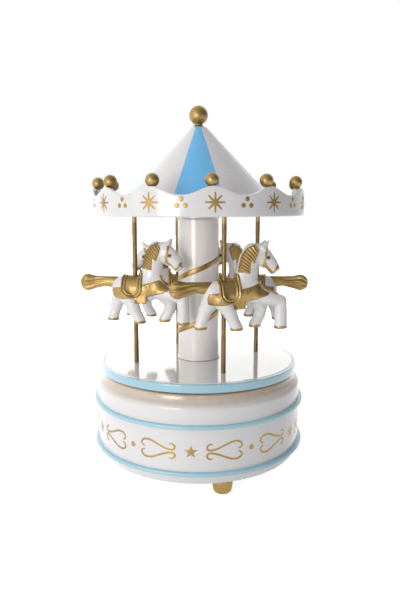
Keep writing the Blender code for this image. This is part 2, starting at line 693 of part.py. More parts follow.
def make_canopy(build):
    inner = CROWN_RADIUS - CROWN_WALL
    deck_bottom = CANOPY_BOTTOM + 0.5
    deck_top = ROOF_BOTTOM - GAP
    profile = [(2.5, deck_top), (inner - GAP, deck_top), (inner - GAP, deck_bottom), (2.5, deck_bottom)]
    deck = build.turned("canopy_deck", profile, "white_plastic", steps=32, closed=True)
    build.drill(deck, [place[:2] for place in pole_places()], POLE_RADIUS + GAP, deck_bottom - 1.0,
                deck_top + 1.0, segments=16)

    crown = bmesh.new()
    segments = 8 * CREST_COUNT
    bmesh.ops.create_circle(crown, segments=segments, radius=CROWN_RADIUS)
    walls = bmesh.ops.extrude_edge_only(crown, edges=crown.edges[:])
    raised = [item for item in walls["geom"] if isinstance(item, bmesh.types.BMVert)]
    for vert in crown.verts:
        vert.co.z = CANOPY_BOTTOM
    for vert in raised:
        azimuth = math.degrees(math.atan2(vert.co.x, -vert.co.y))
        vert.co.z = crown_height(azimuth)
    bmesh.ops.recalc_face_normals(crown, faces=crown.faces)
    wall = build.from_bmesh("crown_wall", crown, "white_plastic", smooth_angle=50.0)
    solid = wall.modifiers.new("thickness", "SOLIDIFY")
    solid.thickness = CROWN_WALL * MM
    solid.offset = -1.0

    bottom_radius = roof_radius(ROOF_BOTTOM)
    skin = 1.5
    roof = [(1.8, ROOF_TOP), (ROOF_TOP_RADIUS - 0.3, ROOF_TOP), (ROOF_TOP_RADIUS, ROOF_TOP - 0.3)]
    roof += [(bottom_radius, ROOF_BOTTOM), (bottom_radius - 1.4 * skin, ROOF_BOTTOM)]
    roof += [(ROOF_TOP_RADIUS - 0.5, ROOF_TOP - skin), (1.8, ROOF_TOP - skin)]
    build.turned("roof_cone", roof, "white_plastic", steps=ROOF_SIDES, closed=True)


def crown_height(azimuth):
    """Height of the scalloped crown's edge above the resting plane."""
    wave = math.cos(math.radians(CREST_COUNT * (azimuth - CREST_AZIMUTH)))
    return 0.5 * (CROWN_CREST + CROWN_VALLEY) + 0.5 * (CROWN_CREST - CROWN_VALLEY) * wave


def roof_radius(height):
    return ROOF_TOP_RADIUS + ROOF_SLOPE * (ROOF_TOP - height)


def make_balls(build):
    """Gold balls, each on a stem that stands on the canopy deck inside the crown."""
    centre = CROWN_CREST + 0.1 + BALL_RADIUS
    stem = 1.0
    profile = [(0.0, centre + BALL_RADIUS)]
    profile += corner(0.0, centre, BALL_RADIUS, 54.0, -54.0, steps=3)
    profile += [(stem, centre - BALL_RADIUS - 0.1), (stem, ROOF_BOTTOM), (0.0, ROOF_BOTTOM)]
    for index in range(CREST_COUNT):
        place = place_azimuth(BALL_CIRCLE, CREST_AZIMUTH + index * 360.0 / CREST_COUNT)
        ball = build.turned("crown_ball_%02d" % (index + 1), profile, "gold_paint", steps=10)
        ball.location = (place.x * MM, place.y * MM, 0.0)

    centre = TOTAL_HEIGHT - FINIAL_RADIUS
    profile = [(0.0, TOTAL_HEIGHT)]
    profile += corner(0.0, centre, FINIAL_RADIUS, 72.0, -54.0, steps=7)
    profile += [(2.5, ROOF_TOP + GAP), (1.5, ROOF_TOP + GAP), (1.5, ROOF_TOP - 4.0), (0.0, ROOF_TOP - 4.0)]
    build.turned("finial_ball", profile, "gold_paint", steps=24)


def make_poles(build):
    bottom = PLATFORM_BOTTOM + 0.6
    top = ROOF_BOTTOM - GAP - 0.4
    profile = [(0.0, top), (POLE_RADIUS, top), (POLE_RADIUS, bottom), (0.0, bottom)]
    for index, place in enumerate(pole_places()):
        pole = build.turned("pole_%d" % (index + 1), profile, "gold_paint", steps=12)
        pole.location = (place.x * MM, place.y * MM, 0.0)


# Horses ---------------------------------------------------------------------

HORSE_LIMBS = {
    # (forward, up, radius) stations, with up counted from the hooves, then side offset and flatness
    "barrel": (((-4.6, 16.7, 5.9), (2.0, 16.3, 6.3), (8.0, 16.7, 6.2), (12.0, 18.0, 5.7)), 0.0, 0.80),
    "neck": (((9.4, 20.6, 5.7), (9.9, 25.0, 5.2), (10.5, 29.5, 4.9), (12.4, 35.0, 4.7)), 0.0, 0.66),
    "head": (((16.4, 36.1, 3.4), (18.8, 33.0, 3.7), (21.6, 30.1, 3.2), (23.4, 27.7, 2.6)), 0.0, 0.80),
    "near_ear": (((17.3, 37.4, 2.1), (19.2, 40.2, 0.8)), -1.4, 0.8),
    "far_ear": (((17.3, 37.4, 2.1), (19.2, 40.2, 0.8)), 1.4, 0.8),
    "tail": (((-8.8, 19.8, 2.9), (-14.6, 20.2, 2.5), (-19.4, 19.6, 2.9), (-23.4, 19.4, 4.0)), 0.0, 0.70),
    "far_hind_leg": (((-6.0, 14.6, 4.6), (-8.8, 9.0, 3.2), (-10.2, 4.8, 2.6), (-11.1, 0.0, 2.8)), 2.6, 0.9),
    "near_hind_leg": (((-2.6, 14.2, 4.6), (0.8, 9.0, 3.2), (2.6, 4.8, 2.6), (4.3, 0.0, 2.8)), -2.8, 0.9),
    "far_fore_leg": (((13.6, 14.8, 3.9), (18.2, 9.8, 3.0), (17.6, 5.4, 2.6), (15.2, 0.0, 2.8)), 2.6, 0.9),
    "near_fore_leg": (((14.4, 15.6, 3.9), (20.4, 14.2, 3.0), (25.4, 13.0, 2.8), (25.9, 0.0, 2.7)), -2.6, 0.9),
}


def add_limb(bm, stations, side, flatness):
    """Spheres joined by cones along the stations, flattened sideways."""
    limb = bmesh.new()
    for forward, up, radius in stations:
        bmesh.ops.create_uvsphere(limb, u_segments=16, v_segments=10, radius=radius,
                                  matrix=Matrix.Translation((forward, 0.0, up)))
    for start, end in zip(stations, stations[1:]):
        add_rod(limb, (start[0], 0.0, start[1]), (end[0], 0.0, end[1]), start[2], end[2], segments=16)
    for vert in limb.verts:
        vert.co.y = vert.co.y * flatness + side
    merge_into(bm, limb)


def make_horse_mesh(build, setback):
    """One horse, nose along +X, its pole on the Z axis and its hooves at z = 0."""
    bm = bmesh.new()
    for stations, side, flatness in HORSE_LIMBS.values():
        add_limb(bm, stations, side, flatness)
    rough = build.from_bmesh("horse_form", bm, "white_plastic")
    remesh = rough.modifiers.new("join", "REMESH")
    remesh.mode = "VOXEL"
    remesh.voxel_size = HORSE_VOXEL * MM
    relax = rough.modifiers.new("relax", "SMOOTH")
    relax.iterations = 3
    coarse = rough.modifiers.new("coarse", "DECIMATE")
    coarse.ratio = HORSE_DETAIL
    trim = bmesh.new()
    add_box(trim, (0.0, 0.0, -5.0), (90.0, 30.0, 10.0))
    build.boolean(rough, build.cutter("hoof_plane", trim), "DIFFERENCE")
    build.drill(rough, [(setback, 0.0)], HORSE_BORE, -10.0, 60.0, segments=16)
    bpy.context.view_layer.update()
    graph = bpy.context.evaluated_depsgraph_get()
    mesh = bpy.data.meshes.new_from_object(rough.evaluated_get(graph))
    mesh.transform(Matrix.Translation((-setback * MM, 0.0, 0.0)))
    mesh.name = "horse"
    bpy.data.objects.remove(rough, do_unlink=True)
    return mesh


def make_horses(build):
    for index, place in enumerate(pole_places()):
        mesh = make_horse_mesh(build, HORSE_SETBACKS[index])
        horse = build.add("horse_%d" % (index + 1), mesh, "white_plastic")
        horse.location = (place.x * MM, place.y * MM, (HOOF_Z - HORSE_DROPS[index]) * MM)
        horse.rotation_euler.z = math.radians(HORSE_HEADINGS[index])


def main():
    clear_scene()
    build = Builder()
    make_drum(build)
    make_tray(build)
    make_feet(build)
    make_bedplate(build)
    make_governor_frame(build)
    make_comb(build)
    make_fasteners(build)
    make_winding(build)
    make_barrel(build)
    make_cylinder(build)
    make_train(build)
    make_fly(build)
    make_platform(build)
    make_column(build)
    make_canopy(build)
    make_balls(build)
    make_poles(build)
    make_horses(build)


main()
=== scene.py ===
"""Looks of the carousel music box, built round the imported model.

Lengths are millimetres until a mesh is made, and MM turns them into metres. The studio's lights and
camera are placed in metres. The origin is the centre of the plane the feet stand on, +Z is up and
the front is -Y. An azimuth is counted in degrees from the front towards the right.
"""

import json
import math

import bmesh
import bpy
import numpy as np
from mathutils import Matrix, Vector


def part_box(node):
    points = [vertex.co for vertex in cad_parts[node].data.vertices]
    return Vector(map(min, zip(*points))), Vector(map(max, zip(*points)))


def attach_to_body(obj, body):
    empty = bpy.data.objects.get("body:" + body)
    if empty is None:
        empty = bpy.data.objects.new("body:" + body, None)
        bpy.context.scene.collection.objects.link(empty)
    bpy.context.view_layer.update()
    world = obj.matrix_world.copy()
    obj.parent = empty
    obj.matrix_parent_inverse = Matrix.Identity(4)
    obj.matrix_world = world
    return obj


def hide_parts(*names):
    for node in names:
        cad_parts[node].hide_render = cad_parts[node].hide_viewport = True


MM = 0.001
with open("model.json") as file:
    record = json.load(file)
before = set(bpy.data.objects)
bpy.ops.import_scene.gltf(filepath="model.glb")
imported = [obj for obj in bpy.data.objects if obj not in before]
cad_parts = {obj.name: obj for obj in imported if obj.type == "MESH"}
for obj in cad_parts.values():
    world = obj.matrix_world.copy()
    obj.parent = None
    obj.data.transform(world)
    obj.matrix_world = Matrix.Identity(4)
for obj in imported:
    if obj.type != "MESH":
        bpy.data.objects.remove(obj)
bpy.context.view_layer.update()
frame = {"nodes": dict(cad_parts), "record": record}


def node_size(node):
    """Half the width, the bottom and the top of a round, upright CAD node."""
    low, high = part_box(node)
    return 0.5 * (high.x - low.x) / MM, low.z / MM, high.z / MM


def node_centre(node):
    low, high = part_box(node)
    return Vector((low + high) * 0.5) / MM


def on_circle(radius, azimuth, height=0.0):
    angle = math.radians(azimuth)
    return Vector((radius * math.sin(angle), -radius * math.cos(angle), height))


# Materials

def combine(tree, operation, first, second):
    """A maths node's output; each input is a number or another node's output."""
    made = tree.nodes.new("ShaderNodeMath")
    made.operation = operation
    for socket, value in zip(made.inputs, (first, second)):
        if isinstance(value, float):
            socket.default_value = value
        else:
            tree.links.new(value, socket)
    return made.outputs["Value"]


class Shader:
    """A material's node tree, with short calls for the nodes used here."""

    def __init__(self, name, roughness=0.4, metallic=0.0, **inputs):
        self.material = bpy.data.materials.new(name)
        self.material.use_nodes = True
        self.tree = self.material.node_tree
        self.principled = self.tree.nodes["Principled BSDF"]
        self.principled.inputs["Roughness"].default_value = roughness
        self.principled.inputs["Metallic"].default_value = metallic
        for label, value in inputs.items():
            self.principled.inputs[label.replace("_", " ")].default_value = value
        self.place = self.node("TexCoord").outputs["Object"]

    def node(self, kind, **settings):
        made = self.tree.nodes.new("ShaderNode" + kind)
        for label, value in settings.items():
            setattr(made, label, value)
        return made

    def link(self, output, target):
        self.tree.links.new(output, target)

    def noise(self, scale, detail=3.0, stretch=None):
        """Noise of so many features a metre, stretched along an axis where asked."""
        place = self.place
        if stretch:
            mapping = self.node("Mapping")
            mapping.inputs["Scale"].default_value = stretch
            self.link(place, mapping.inputs["Vector"])
            place = mapping.outputs["Vector"]
        noise = self.node("TexNoise")
        noise.inputs["Scale"].default_value = scale
        noise.inputs["Detail"].default_value = detail
        self.link(place, noise.inputs["Vector"])
        return noise.outputs["Fac"]

    def cells(self, scale):
        cells = self.node("TexVoronoi")
        cells.inputs["Scale"].default_value = scale
        self.link(self.place, cells.inputs["Vector"])
        return cells.outputs["Color"]

    def remap(self, value, low, high, start=0.3, end=0.7):
        remap = self.node("MapRange")
        remap.inputs["From Min"].default_value = start
        remap.inputs["From Max"].default_value = end
        remap.inputs["To Min"].default_value = low
        remap.inputs["To Max"].default_value = high
        self.link(value, remap.inputs["Value"])
        return remap.outputs["Result"]

    def mix(self, factor, first, second):
        """Mix two colours; each is a triple or another node's colour."""
        mix = self.node("Mix", data_type="RGBA")
        self.link(factor, mix.inputs["Factor"])
        for label, colour in (("A", first), ("B", second)):
            socket = [item for item in mix.inputs if item.name == label and item.type == "RGBA"][0]
            if isinstance(colour, tuple):
                socket.default_value = (*colour, 1.0)
            else:
                self.link(colour, socket)
        return [item for item in mix.outputs if item.type == "RGBA"][0]

    def tint(self, scale, detail, first, second, stretch=None):
        """Two colours mixed slowly by noise."""
        return self.mix(self.remap(self.noise(scale, detail, stretch), 0.0, 1.0), first, second)

    def mix_value(self, factor, first, second):
        mix = self.node("Mix", data_type="FLOAT")
        self.link(factor, mix.inputs["Factor"])
        self.link(first, mix.inputs[2])
        self.link(second, mix.inputs[3])
        return mix.outputs[0]

    def bump(self, height, depth, strength=1.0, under=None):
        bump = self.node("Bump")
        bump.inputs["Strength"].default_value = strength
        bump.inputs["Distance"].default_value = depth * MM
        self.link(height, bump.inputs["Height"])
        if under is not None:
            self.link(under, bump.inputs["Normal"])
        return bump.outputs["Normal"]

    def attribute(self, name):
        return self.node("Attribute", attribute_name=name).outputs["Fac"]

    def height(self):
        """The height above the resting plane, in metres."""
        split = self.node("SeparateXYZ")
        self.link(self.place, split.inputs["Vector"])
        return split.outputs["Z"]

    def finish(self, colour=None, roughness=None, normal=None, metallic=None):
        for label, output in (("Base Color", colour), ("Roughness", roughness),
                              ("Normal", normal), ("Metallic", metallic)):
            if output is not None:
                self.link(output, self.principled.inputs[label])
        return self.material


WHITE = (0.80, 0.785, 0.785)
WHITE_DEEP = (0.775, 0.757, 0.762)
GOLD = (0.39, 0.262, 0.092)
GOLD_LIGHT = (0.53, 0.375, 0.145)
GOLD_DEEP = (0.265, 0.168, 0.055)
# Painted shade: the warm beige of the lid's neck under the platform's rim, standing in for its shadow and
# warm reflected light.
NECK_PAINTED_SHADE = (0.66, 0.55, 0.43)
NECK_PAINTED_SHADE_DEEP = (0.60, 0.49, 0.37)
# Painted shade: brown for a ring round the horses' eyes and nostrils.
EYE_PAINTED_SHADE = (0.20, 0.15, 0.085)
INK = (0.012, 0.010, 0.010)


def moulded_plastic(name, colour, deep, roughness=0.22, coat=0.35, waviness=0.012):
    """Glossy moulded plastic: slow tint changes, slightly uneven gloss and a wavy skin."""
    shader = Shader(name, Coat_Weight=coat, Coat_Roughness=0.07)
    tint = shader.tint(38.0, 4.0, colour, deep)
    rough = shader.remap(shader.noise(60.0, 3.0), roughness - 0.03, roughness + 0.03)
    wave = shader.bump(shader.noise(110.0, 1.0), waviness, 0.25)
    grain = shader.bump(shader.noise(3200.0, 2.0), 0.003, 0.2, wave)
    return shader.finish(tint, rough, grain)


def gold_nodes(shader):
    """Colour, roughness and normal of a metallic paint with fine flakes and brush marks."""
    pooled = shader.mix(shader.remap(shader.noise(190.0, 2.0), 0.0, 0.6), GOLD, GOLD_DEEP)
    flakes = shader.remap(shader.cells(5200.0), 0.0, 0.30, 0.25, 0.95)
    colour = shader.mix(flakes, pooled, GOLD_LIGHT)
    rough = shader.remap(shader.noise(700.0, 3.0), 0.36, 0.48)
    brush = shader.bump(shader.noise(420.0, 2.0, stretch=(1.0, 1.0, 0.35)), 0.008, 0.2)
    normal = shader.bump(shader.cells(5200.0), 0.0015, 0.12, brush)
    return colour, rough, normal


def gold_paint(name):
    shader = Shader(name, metallic=0.92, Coat_Weight=0.12, Coat_Roughness=0.2)
    return shader.finish(*gold_nodes(shader))


def machined(name, colour, deep, roughness):
    """Bare metal with fine tool marks and slightly uneven tarnish."""
    shader = Shader(name, metallic=1.0)
    tint = shader.tint(160.0, 5.0, colour, deep)
    marks = shader.noise(5200.0, 2.0, stretch=(1.0, 1.0, 0.04))
    rough = shader.remap(marks, roughness - 0.08, roughness + 0.10)
    return shader.finish(tint, rough, shader.bump(marks, 0.006, 0.4))


def cast_metal(name):
    shader = Shader(name, metallic=0.85)
    tint = shader.tint(420.0, 5.0, (0.42, 0.43, 0.45), (0.55, 0.56, 0.58))
    skin = shader.bump(shader.noise(2600.0, 4.0), 0.03, 0.6)
    return shader.finish(tint, shader.remap(shader.noise(900.0), 0.42, 0.6), skin)


def painted_horse(name):
    """White plastic, with gold and black paint where the sculpt's attributes say so, and a brown ring of
    painted shade round the black of the eyes and nostrils.
    """
    shader = Shader(name, Coat_Weight=0.3, Coat_Roughness=0.1, Subsurface_Weight=0.06,
                    Subsurface_Scale=0.0012)
    white = shader.tint(90.0, 4.0, WHITE, WHITE_DEEP)
    gold_colour, gold_rough, gold_normal = gold_nodes(shader)
    ragged = shader.remap(shader.noise(1500.0, 3.0), -0.09, 0.09, 0.2, 0.8)
    edge = combine(shader.tree, "ADD", shader.attribute("gold"), ragged)
    gilded = shader.remap(edge, 0.0, 1.0, -0.05, 0.05)
    inked = shader.remap(shader.attribute("black"), 0.0, 1.0, -0.04, 0.04)
    # Painted shade: a brown ring just outside the black paint of the eyes and nostrils.
    painted_shade_ring = shader.remap(shader.attribute("black"), 0.0, 0.85, -0.75, -0.1)
    skin = shader.mix(painted_shade_ring, shader.mix(gilded, white, gold_colour), EYE_PAINTED_SHADE)
    colour = shader.mix(inked, skin, INK)
    white_rough = shader.remap(shader.noise(240.0, 4.0), 0.24, 0.36)
    rough = shader.mix_value(gilded, white_rough, gold_rough)
    not_inked = shader.remap(inked, 1.0, 0.0, 0.0, 1.0)
    metal = combine(shader.tree, "MULTIPLY", shader.remap(gilded, 0.0, 0.92, 0.0, 1.0), not_inked)
    return shader.finish(colour, rough, gold_normal, metal)


def painted_shade_neck_plastic(name, start, end):
    """The lid's plastic, with painted shade on the neck that the platform overhangs: a warm beige standing
    in for the rim's shadow and warm reflected light, strongest at the top and fading to white below.
    """
    shader = Shader(name, Coat_Weight=0.3, Coat_Roughness=0.08)
    white = shader.tint(38.0, 4.0, WHITE, WHITE_DEEP)
    # Painted shade, mixed in by height towards the top of the neck.
    painted_shade = shader.tint(300.0, 4.0, NECK_PAINTED_SHADE, NECK_PAINTED_SHADE_DEEP, stretch=(1.0, 1.0, 0.2))
    shade = shader.remap(shader.height(), 0.0, 1.0, start * MM, end * MM)
    rough = shader.remap(shader.noise(60.0, 3.0), 0.20, 0.27)
    colour = shader.mix(shade, white, painted_shade)
    return shader.finish(colour, rough, shader.bump(shader.noise(110.0, 1.0), 0.012, 0.25))


white_plastic = moulded_plastic("white_gloss", WHITE, WHITE_DEEP)
platform_plastic = moulded_plastic(
    "platform_gloss", (0.84, 0.83, 0.83), (0.82, 0.81, 0.81), roughness=0.10, coat=1.0, waviness=0.004)
white_matte = moulded_plastic("white_inside", WHITE, WHITE_DEEP, roughness=0.45, coat=0.0)
# Painted light: the column's plastic is a lighter, warmer copy of the white plastic, raised to stand in for
# the light the column shows under the canopy.
column_plastic = moulded_plastic("column_gloss", (0.87, 0.835, 0.815), (0.84, 0.80, 0.78), roughness=0.24)
blue_plastic = moulded_plastic("blue_gloss", (0.40, 0.66, 0.76), (0.36, 0.62, 0.74), roughness=0.24)
blue_rim = moulded_plastic("blue_rim", (0.34, 0.60, 0.71), (0.31, 0.56, 0.68), roughness=0.16, coat=1.0)
roof_white = moulded_plastic("roof_white", WHITE, WHITE_DEEP, roughness=0.26, coat=0.05)
sky_blue = moulded_plastic(
    "roof_blue", (0.18, 0.56, 0.95), (0.165, 0.53, 0.92), roughness=0.26, coat=0.05)
gold = gold_paint("gold_paint_flaked")
brass = machined("turned_brass", (0.66, 0.47, 0.20), (0.52, 0.36, 0.14), 0.28)
steel = machined("ground_steel", (0.56, 0.56, 0.57), (0.44, 0.44, 0.46), 0.26)
dark_steel = machined("tempered_steel", (0.20, 0.20, 0.22), (0.12, 0.12, 0.15), 0.34)
zinc = cast_metal("cast_zinc")
horse_paint = painted_horse("horse_paint")

FINISHES = {
    "white_plastic": white_matte, "blue_plastic": blue_plastic, "gold_paint": gold, "brass": brass,
    "steel": steel, "dark_steel": dark_steel, "zinc": zinc}


# Shapes

def make_piece(name, verts, faces, materials, body, replaces=(), sharp=40.0, face_materials=None):
    """A named piece that rides on a CAD body, from points in millimetres."""
    mesh = bpy.data.meshes.new(name)
    mesh.from_pydata([tuple(MM * float(part) for part in vert) for vert in verts], [], faces)
    bm = bmesh.new()
    bm.from_mesh(mesh)
    bmesh.ops.recalc_face_normals(bm, faces=bm.faces)
    bm.to_mesh(mesh)
    bm.free()
    for material in materials:
        mesh.materials.append(material)
    if face_materials is not None:
        mesh.polygons.foreach_set("material_index", face_materials)
    mesh.shade_smooth()
    mesh.set_sharp_from_angle(angle=math.radians(sharp))
    piece = bpy.data.objects.new(name, mesh)
    bpy.context.scene.collection.objects.link(piece)
    attach(piece, body, replaces)
    return piece


def attach(piece, body, replaces=()):
    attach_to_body(piece, body)
    if replaces:
        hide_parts(*replaces)


def supported(points, closed):
    """Extra points near the ends of a profile's long straight runs, so that those shade flat."""
    margin = 0.4
    dense = []
    for index, here in enumerate(points):
        dense.append(here)
        after = points[(index + 1) % len(points)]
        length = (after - here).length
        if length > 6.0 * margin and (closed or index < len(points) - 1):
            dense.append(here.lerp(after, margin / length))
            dense.append(after.lerp(here, margin / length))
    return dense


def rounded(profile):
    """Round the corners of a profile of (radius, height, fillet) points."""
    steps = 5
    points = []
    count = len(profile)
    for index, (x, z, fillet) in enumerate(profile):
        here = Vector((x, z))
        if fillet <= 0.0:
            points.append(here)
            continue
        before = Vector(profile[index - 1][:2]) - here
        after = Vector(profile[(index + 1) % count][:2]) - here
        reach = min(fillet, 0.49 * before.length, 0.49 * after.length)
        start = here + before.normalized() * reach
        end = here + after.normalized() * reach
        for step in range(steps + 1):
            t = step / steps
            points.append(start * (1 - t) ** 2 + here * (2 * t * (1 - t)) + end * t ** 2)
    return [(point.x, point.y) for point in supported(points, profile[0][0] > 0.0)]


def lathe(profile, steps=160, centre=(0.0, 0.0)):
    """Points and faces of a profile of (radius, height) turned about an upright axis.

    A profile that starts on the axis stays open, and any other closes on itself.
    """
    verts = []
    rows = []
    for radius, height in profile:
        if radius < 1e-6:
            rows.append([len(verts)] * steps)
            verts.append((centre[0], centre[1], height))
            continue
        rows.append(list(range(len(verts), len(verts) + steps)))
        for step in range(steps):
            angle = 2.0 * math.pi * step / steps
            across = centre[0] + radius * math.cos(angle)
            verts.append((across, centre[1] + radius * math.sin(angle), height))
    faces = []
    pairs = list(zip(rows, rows[1:]))
    if profile[0][0] > 1e-6:
        pairs.append((rows[-1], rows[0]))
    for first, second in pairs:
        for step in range(steps):
            after = (step + 1) % steps
            loop = [first[step], first[after], second[after], second[step]]
            loop = [vert for index, vert in enumerate(loop) if vert != loop[index - 1]]
            if len(loop) > 2:
                faces.append(loop)
    return verts, faces


def turned_piece(name, profile, material, body, replaces=(), steps=160, centre=(0.0, 0.0)):
    verts, faces = lathe(profile, steps, centre)
    return make_piece(name, verts, faces, [material], body, replaces)


def tube_faces(rings, size, first=0, closed=False):
    """Faces between rings of so many points each; the tube closes on itself or has end caps."""
    faces = []
    for ring in range(rings if closed else rings - 1):
        here = first + ring * size
        there = first + (ring + 1) % rings * size
        for corner in range(size):
            after = (corner + 1) % size
            faces.append((here + corner, here + after, there + after, there + corner))
    if not closed:
        last = first + (rings - 1) * size
        faces.append(tuple(range(first, first + size)))
        faces.append(tuple(range(last, last + size))[::-1])
    return faces


def smooth_path(points):
    """A Catmull-Rom curve through the given 2D points."""
    per_span = 10
    points = [Vector(point) for point in points]
    points = [points[0] * 2 - points[1]] + points + [points[-1] * 2 - points[-2]]
    path = []
    for a, b, c, d in zip(points, points[1:], points[2:], points[3:]):
        for step in range(per_span):
            t = step / per_span
            path.append(0.5 * (2 * b + (c - a) * t + (2 * a - 5 * b + 4 * c - d) * t ** 2
                               + (3 * b - a - 3 * c + d) * t ** 3))
    path.append(points[-2])
    return path


def wrap(point, lift, radius):
    """A point of a flat drawing, (along, height), bent round a drum and lifted off it."""
    angle = point[0] / radius
    return Vector(((radius + lift) * math.sin(angle), -(radius + lift) * math.cos(angle), point[1]))


class Decal:
    """Raised paint on a drum, drawn flat as (along, height) in millimetres."""

    lift = 0.09
    sink = 0.15
    taper = 0.35

    def __init__(self, radius):
        self.radius = radius
        self.verts = []
        self.faces = []

    def line(self, points, width):
        """A painted line with a crowned section, thinner towards its ends."""
        path = smooth_path(points)
        first = len(self.verts)
        shoulder = 0.3 * self.lift
        section = ((-0.5, -self.sink), (-0.5, shoulder), (-0.22, self.lift), (0.22, self.lift),
                   (0.5, shoulder), (0.5, -self.sink))
        for index, point in enumerate(path):
            before = path[max(index - 1, 0)]
            after = path[min(index + 1, len(path) - 1)]
            side = (after - before).orthogonal().normalized()
            share = index / (len(path) - 1)
            swell = self.taper + (1.0 - self.taper) * min(1.0, 6.0 * min(share, 1.0 - share)) ** 0.5
            for offset, lift in section:
                self.verts.append(wrap(point + side * (offset * width * swell), lift, self.radius))
        self.faces += tube_faces(len(path), len(section), first)

    def patch(self, outline, centre):
        """A filled patch round a centre, with a bevelled rim."""
        first = len(self.verts)
        count = len(outline)
        centre = Vector(centre)
        rings = ((1.0, -self.sink), (1.0, 0.3 * self.lift), (0.9, self.lift), (0.5, 1.05 * self.lift))
        for share, lift in rings:
            for point in outline:
                self.verts.append(wrap(centre + Vector(point) * share, lift, self.radius))
        self.verts.append(wrap(centre, 1.1 * self.lift, self.radius))
        self.verts.append(wrap(centre, -self.sink, self.radius))
        top = len(self.verts) - 2
        for corner in range(count):
            after = (corner + 1) % count
            for ring in range(3):
                row = first + ring * count
                self.faces.append((row + corner, row + after, row + count + after, row + count + corner))
            self.faces.append((first + 3 * count + corner, first + 3 * count + after, top))
            self.faces.append((first + after, first + corner, top + 1))

    def dot(self, centre, radius):
        self.patch([(radius * math.cos(math.pi * step / 14), radius * math.sin(math.pi * step / 14))
                    for step in range(28)], centre)

    def star(self, centre, outer, inner, points, turn=90.0):
        outline = []
        for step in range(2 * points):
            reach = outer if step % 2 == 0 else inner
            angle = math.radians(turn + 180.0 * step / points)
            outline.append((reach * math.cos(angle), reach * math.sin(angle)))
        self.patch(outline, centre)

    def piece(self, name, body):
        return make_piece(name, self.verts, self.faces, [gold], body, sharp=50.0)


# Base

FINE = 256
drum_radius, drum_bottom, drum_seam = node_size("drum_wall")
wall = 1.8
drum_inner = drum_radius - wall


def build_drum():
    lip = drum_bottom - 0.7
    ledge = drum_inner - 0.8
    profile = rounded([
        (drum_radius, drum_seam, 0.2), (drum_radius, drum_bottom + 4.2, 3.0),
        (drum_radius - 1.0, drum_bottom + 0.4, 1.0), (drum_radius - 2.4, lip, 0.5),
        (drum_inner - 0.4, lip, 0.3), (ledge, drum_bottom, 0.4), (ledge, drum_bottom + 1.0, 0.2),
        (drum_inner, drum_bottom + 1.4, 0.2), (drum_inner, drum_seam, 0.2)])
    turned_piece("drum_shell", profile, white_plastic, "base", ["drum_wall"], steps=FINE)


def build_lid():
    bottom, top = node_size("drum_lid")[1:]
    shoulder = 46.4
    collar = 48.3
    opening = 2.4
    profile = rounded([
        (drum_radius, bottom, 0.2), (drum_radius, shoulder - 1.2, 2.2), (collar + 0.5, shoulder + 0.5, 1.1),
        (collar, top, 0.9), (opening, top, 0.2), (opening, top - wall, 0.2),
        (collar - wall, top - wall, 0.8), (collar - wall, shoulder - 1.0, 0.5),
        (drum_inner, shoulder - 3.0, 0.8), (drum_inner, bottom, 0.2)])
    # The lid's neck gets painted shade under the platform's rim.
    lid = painted_shade_neck_plastic("lid_gloss", shoulder - 2.8, shoulder + 1.4)
    turned_piece("lid_shell", profile, lid, "base", ["drum_lid"], steps=FINE)


def build_bands():
    slimmer = 0.15
    root = drum_radius - 0.3
    for node, drop in (("lower_band", 0.55), ("upper_band", 0.42)):
        radius, bottom, top = node_size(node)
        bottom += slimmer - drop
        top -= slimmer + drop
        profile = rounded([
            (root, bottom, 0.0), (radius - 0.2, bottom, 0.9), (radius, 0.5 * (bottom + top), 1.6),
            (radius - 0.2, top, 0.9), (root, top, 0.0)])
        turned_piece(node + "_ring", profile, blue_plastic, "base", [node], steps=FINE)


def build_tray():
    radius = 49.2
    hole = 3.2
    bottom = drum_bottom + 0.3
    rim = bottom + 0.5
    top = drum_bottom + 2.0
    profile = rounded([
        (hole, bottom, 0.3), (radius - 4.0, bottom, 0.3), (radius - 3.4, rim, 0.3),
        (radius, rim, 0.3), (radius, top, 0.2), (hole, top, 0.2)])
    turned_piece("tray_disc", profile, white_matte, "base", ["base_tray"], steps=192)


def build_feet():
    spigot = 1.6
    neck = drum_bottom + 0.2
    for index in range(1, 4):
        node = "foot_%d" % index
        radius, top = node_size(node)[::2]
        profile = rounded([
            (0.0, 0.0, 0.0), (0.84 * radius, 0.0, 2.0), (radius, 0.45 * neck, 1.6), (radius, neck, 0.4),
            (spigot, neck, 0.0), (spigot, top, 0.4), (0.0, top, 0.0)])
        turned_piece(node + "_turned", profile, gold, "base", [node], 64, node_centre(node))


def build_drum_scrolls():
    """Stars and dots with a heart on its side between each pair, in a ring round the drum."""
    decal = Decal(drum_radius)
    height = 24.8
    star_azimuth = -3.8
    star_outer = 3.2
    star_inner = 1.35
    dot_radius = 1.25
    line_width = 0.96
    front_gap = 62.8
    gaps = [front_gap] * 2 + [(360.0 - 2.0 * front_gap) / 4.0] * 4
    half_heart = [
        (9.7, 3.15), (8.7, 3.45), (7.5, 2.75), (7.15, 1.75), (7.8, 0.85), (9.5, 0.7), (12.0, 1.35),
        (15.5, 2.8), (18.5, 3.95), (20.9, 4.1), (22.6, 3.45), (23.3, 2.1), (22.6, 1.0), (21.5, 0.75)]
    azimuth = star_azimuth - front_gap
    for gap in gaps:
        first = math.radians(azimuth) * drum_radius
        pitch = math.radians(gap) * drum_radius
        reach = gap / front_gap
        decal.star((first, height), star_outer, star_inner, 5)
        decal.dot((first + 0.5 * pitch, height), dot_radius)
        for start, side in ((first, 1.0), (first + pitch, -1.0)):
            for half in (-1.0, 1.0):
                curve = [(start + side * along * reach, height + half * up) for along, up in half_heart]
                decal.line(curve, line_width)
        azimuth += gap
    decal.piece("drum_scrolls", "base")


# Carousel

column_radius, column_bottom, column_top = node_size("column")
crown_radius, crown_bottom, crown_top = node_size("crown_wall")
roof_base, roof_bottom, roof_top = node_size("roof_cone")
crown_inner = crown_radius - 1.6
crest_count = 12
crest_azimuth = 7.3
crest_depth = 3.6


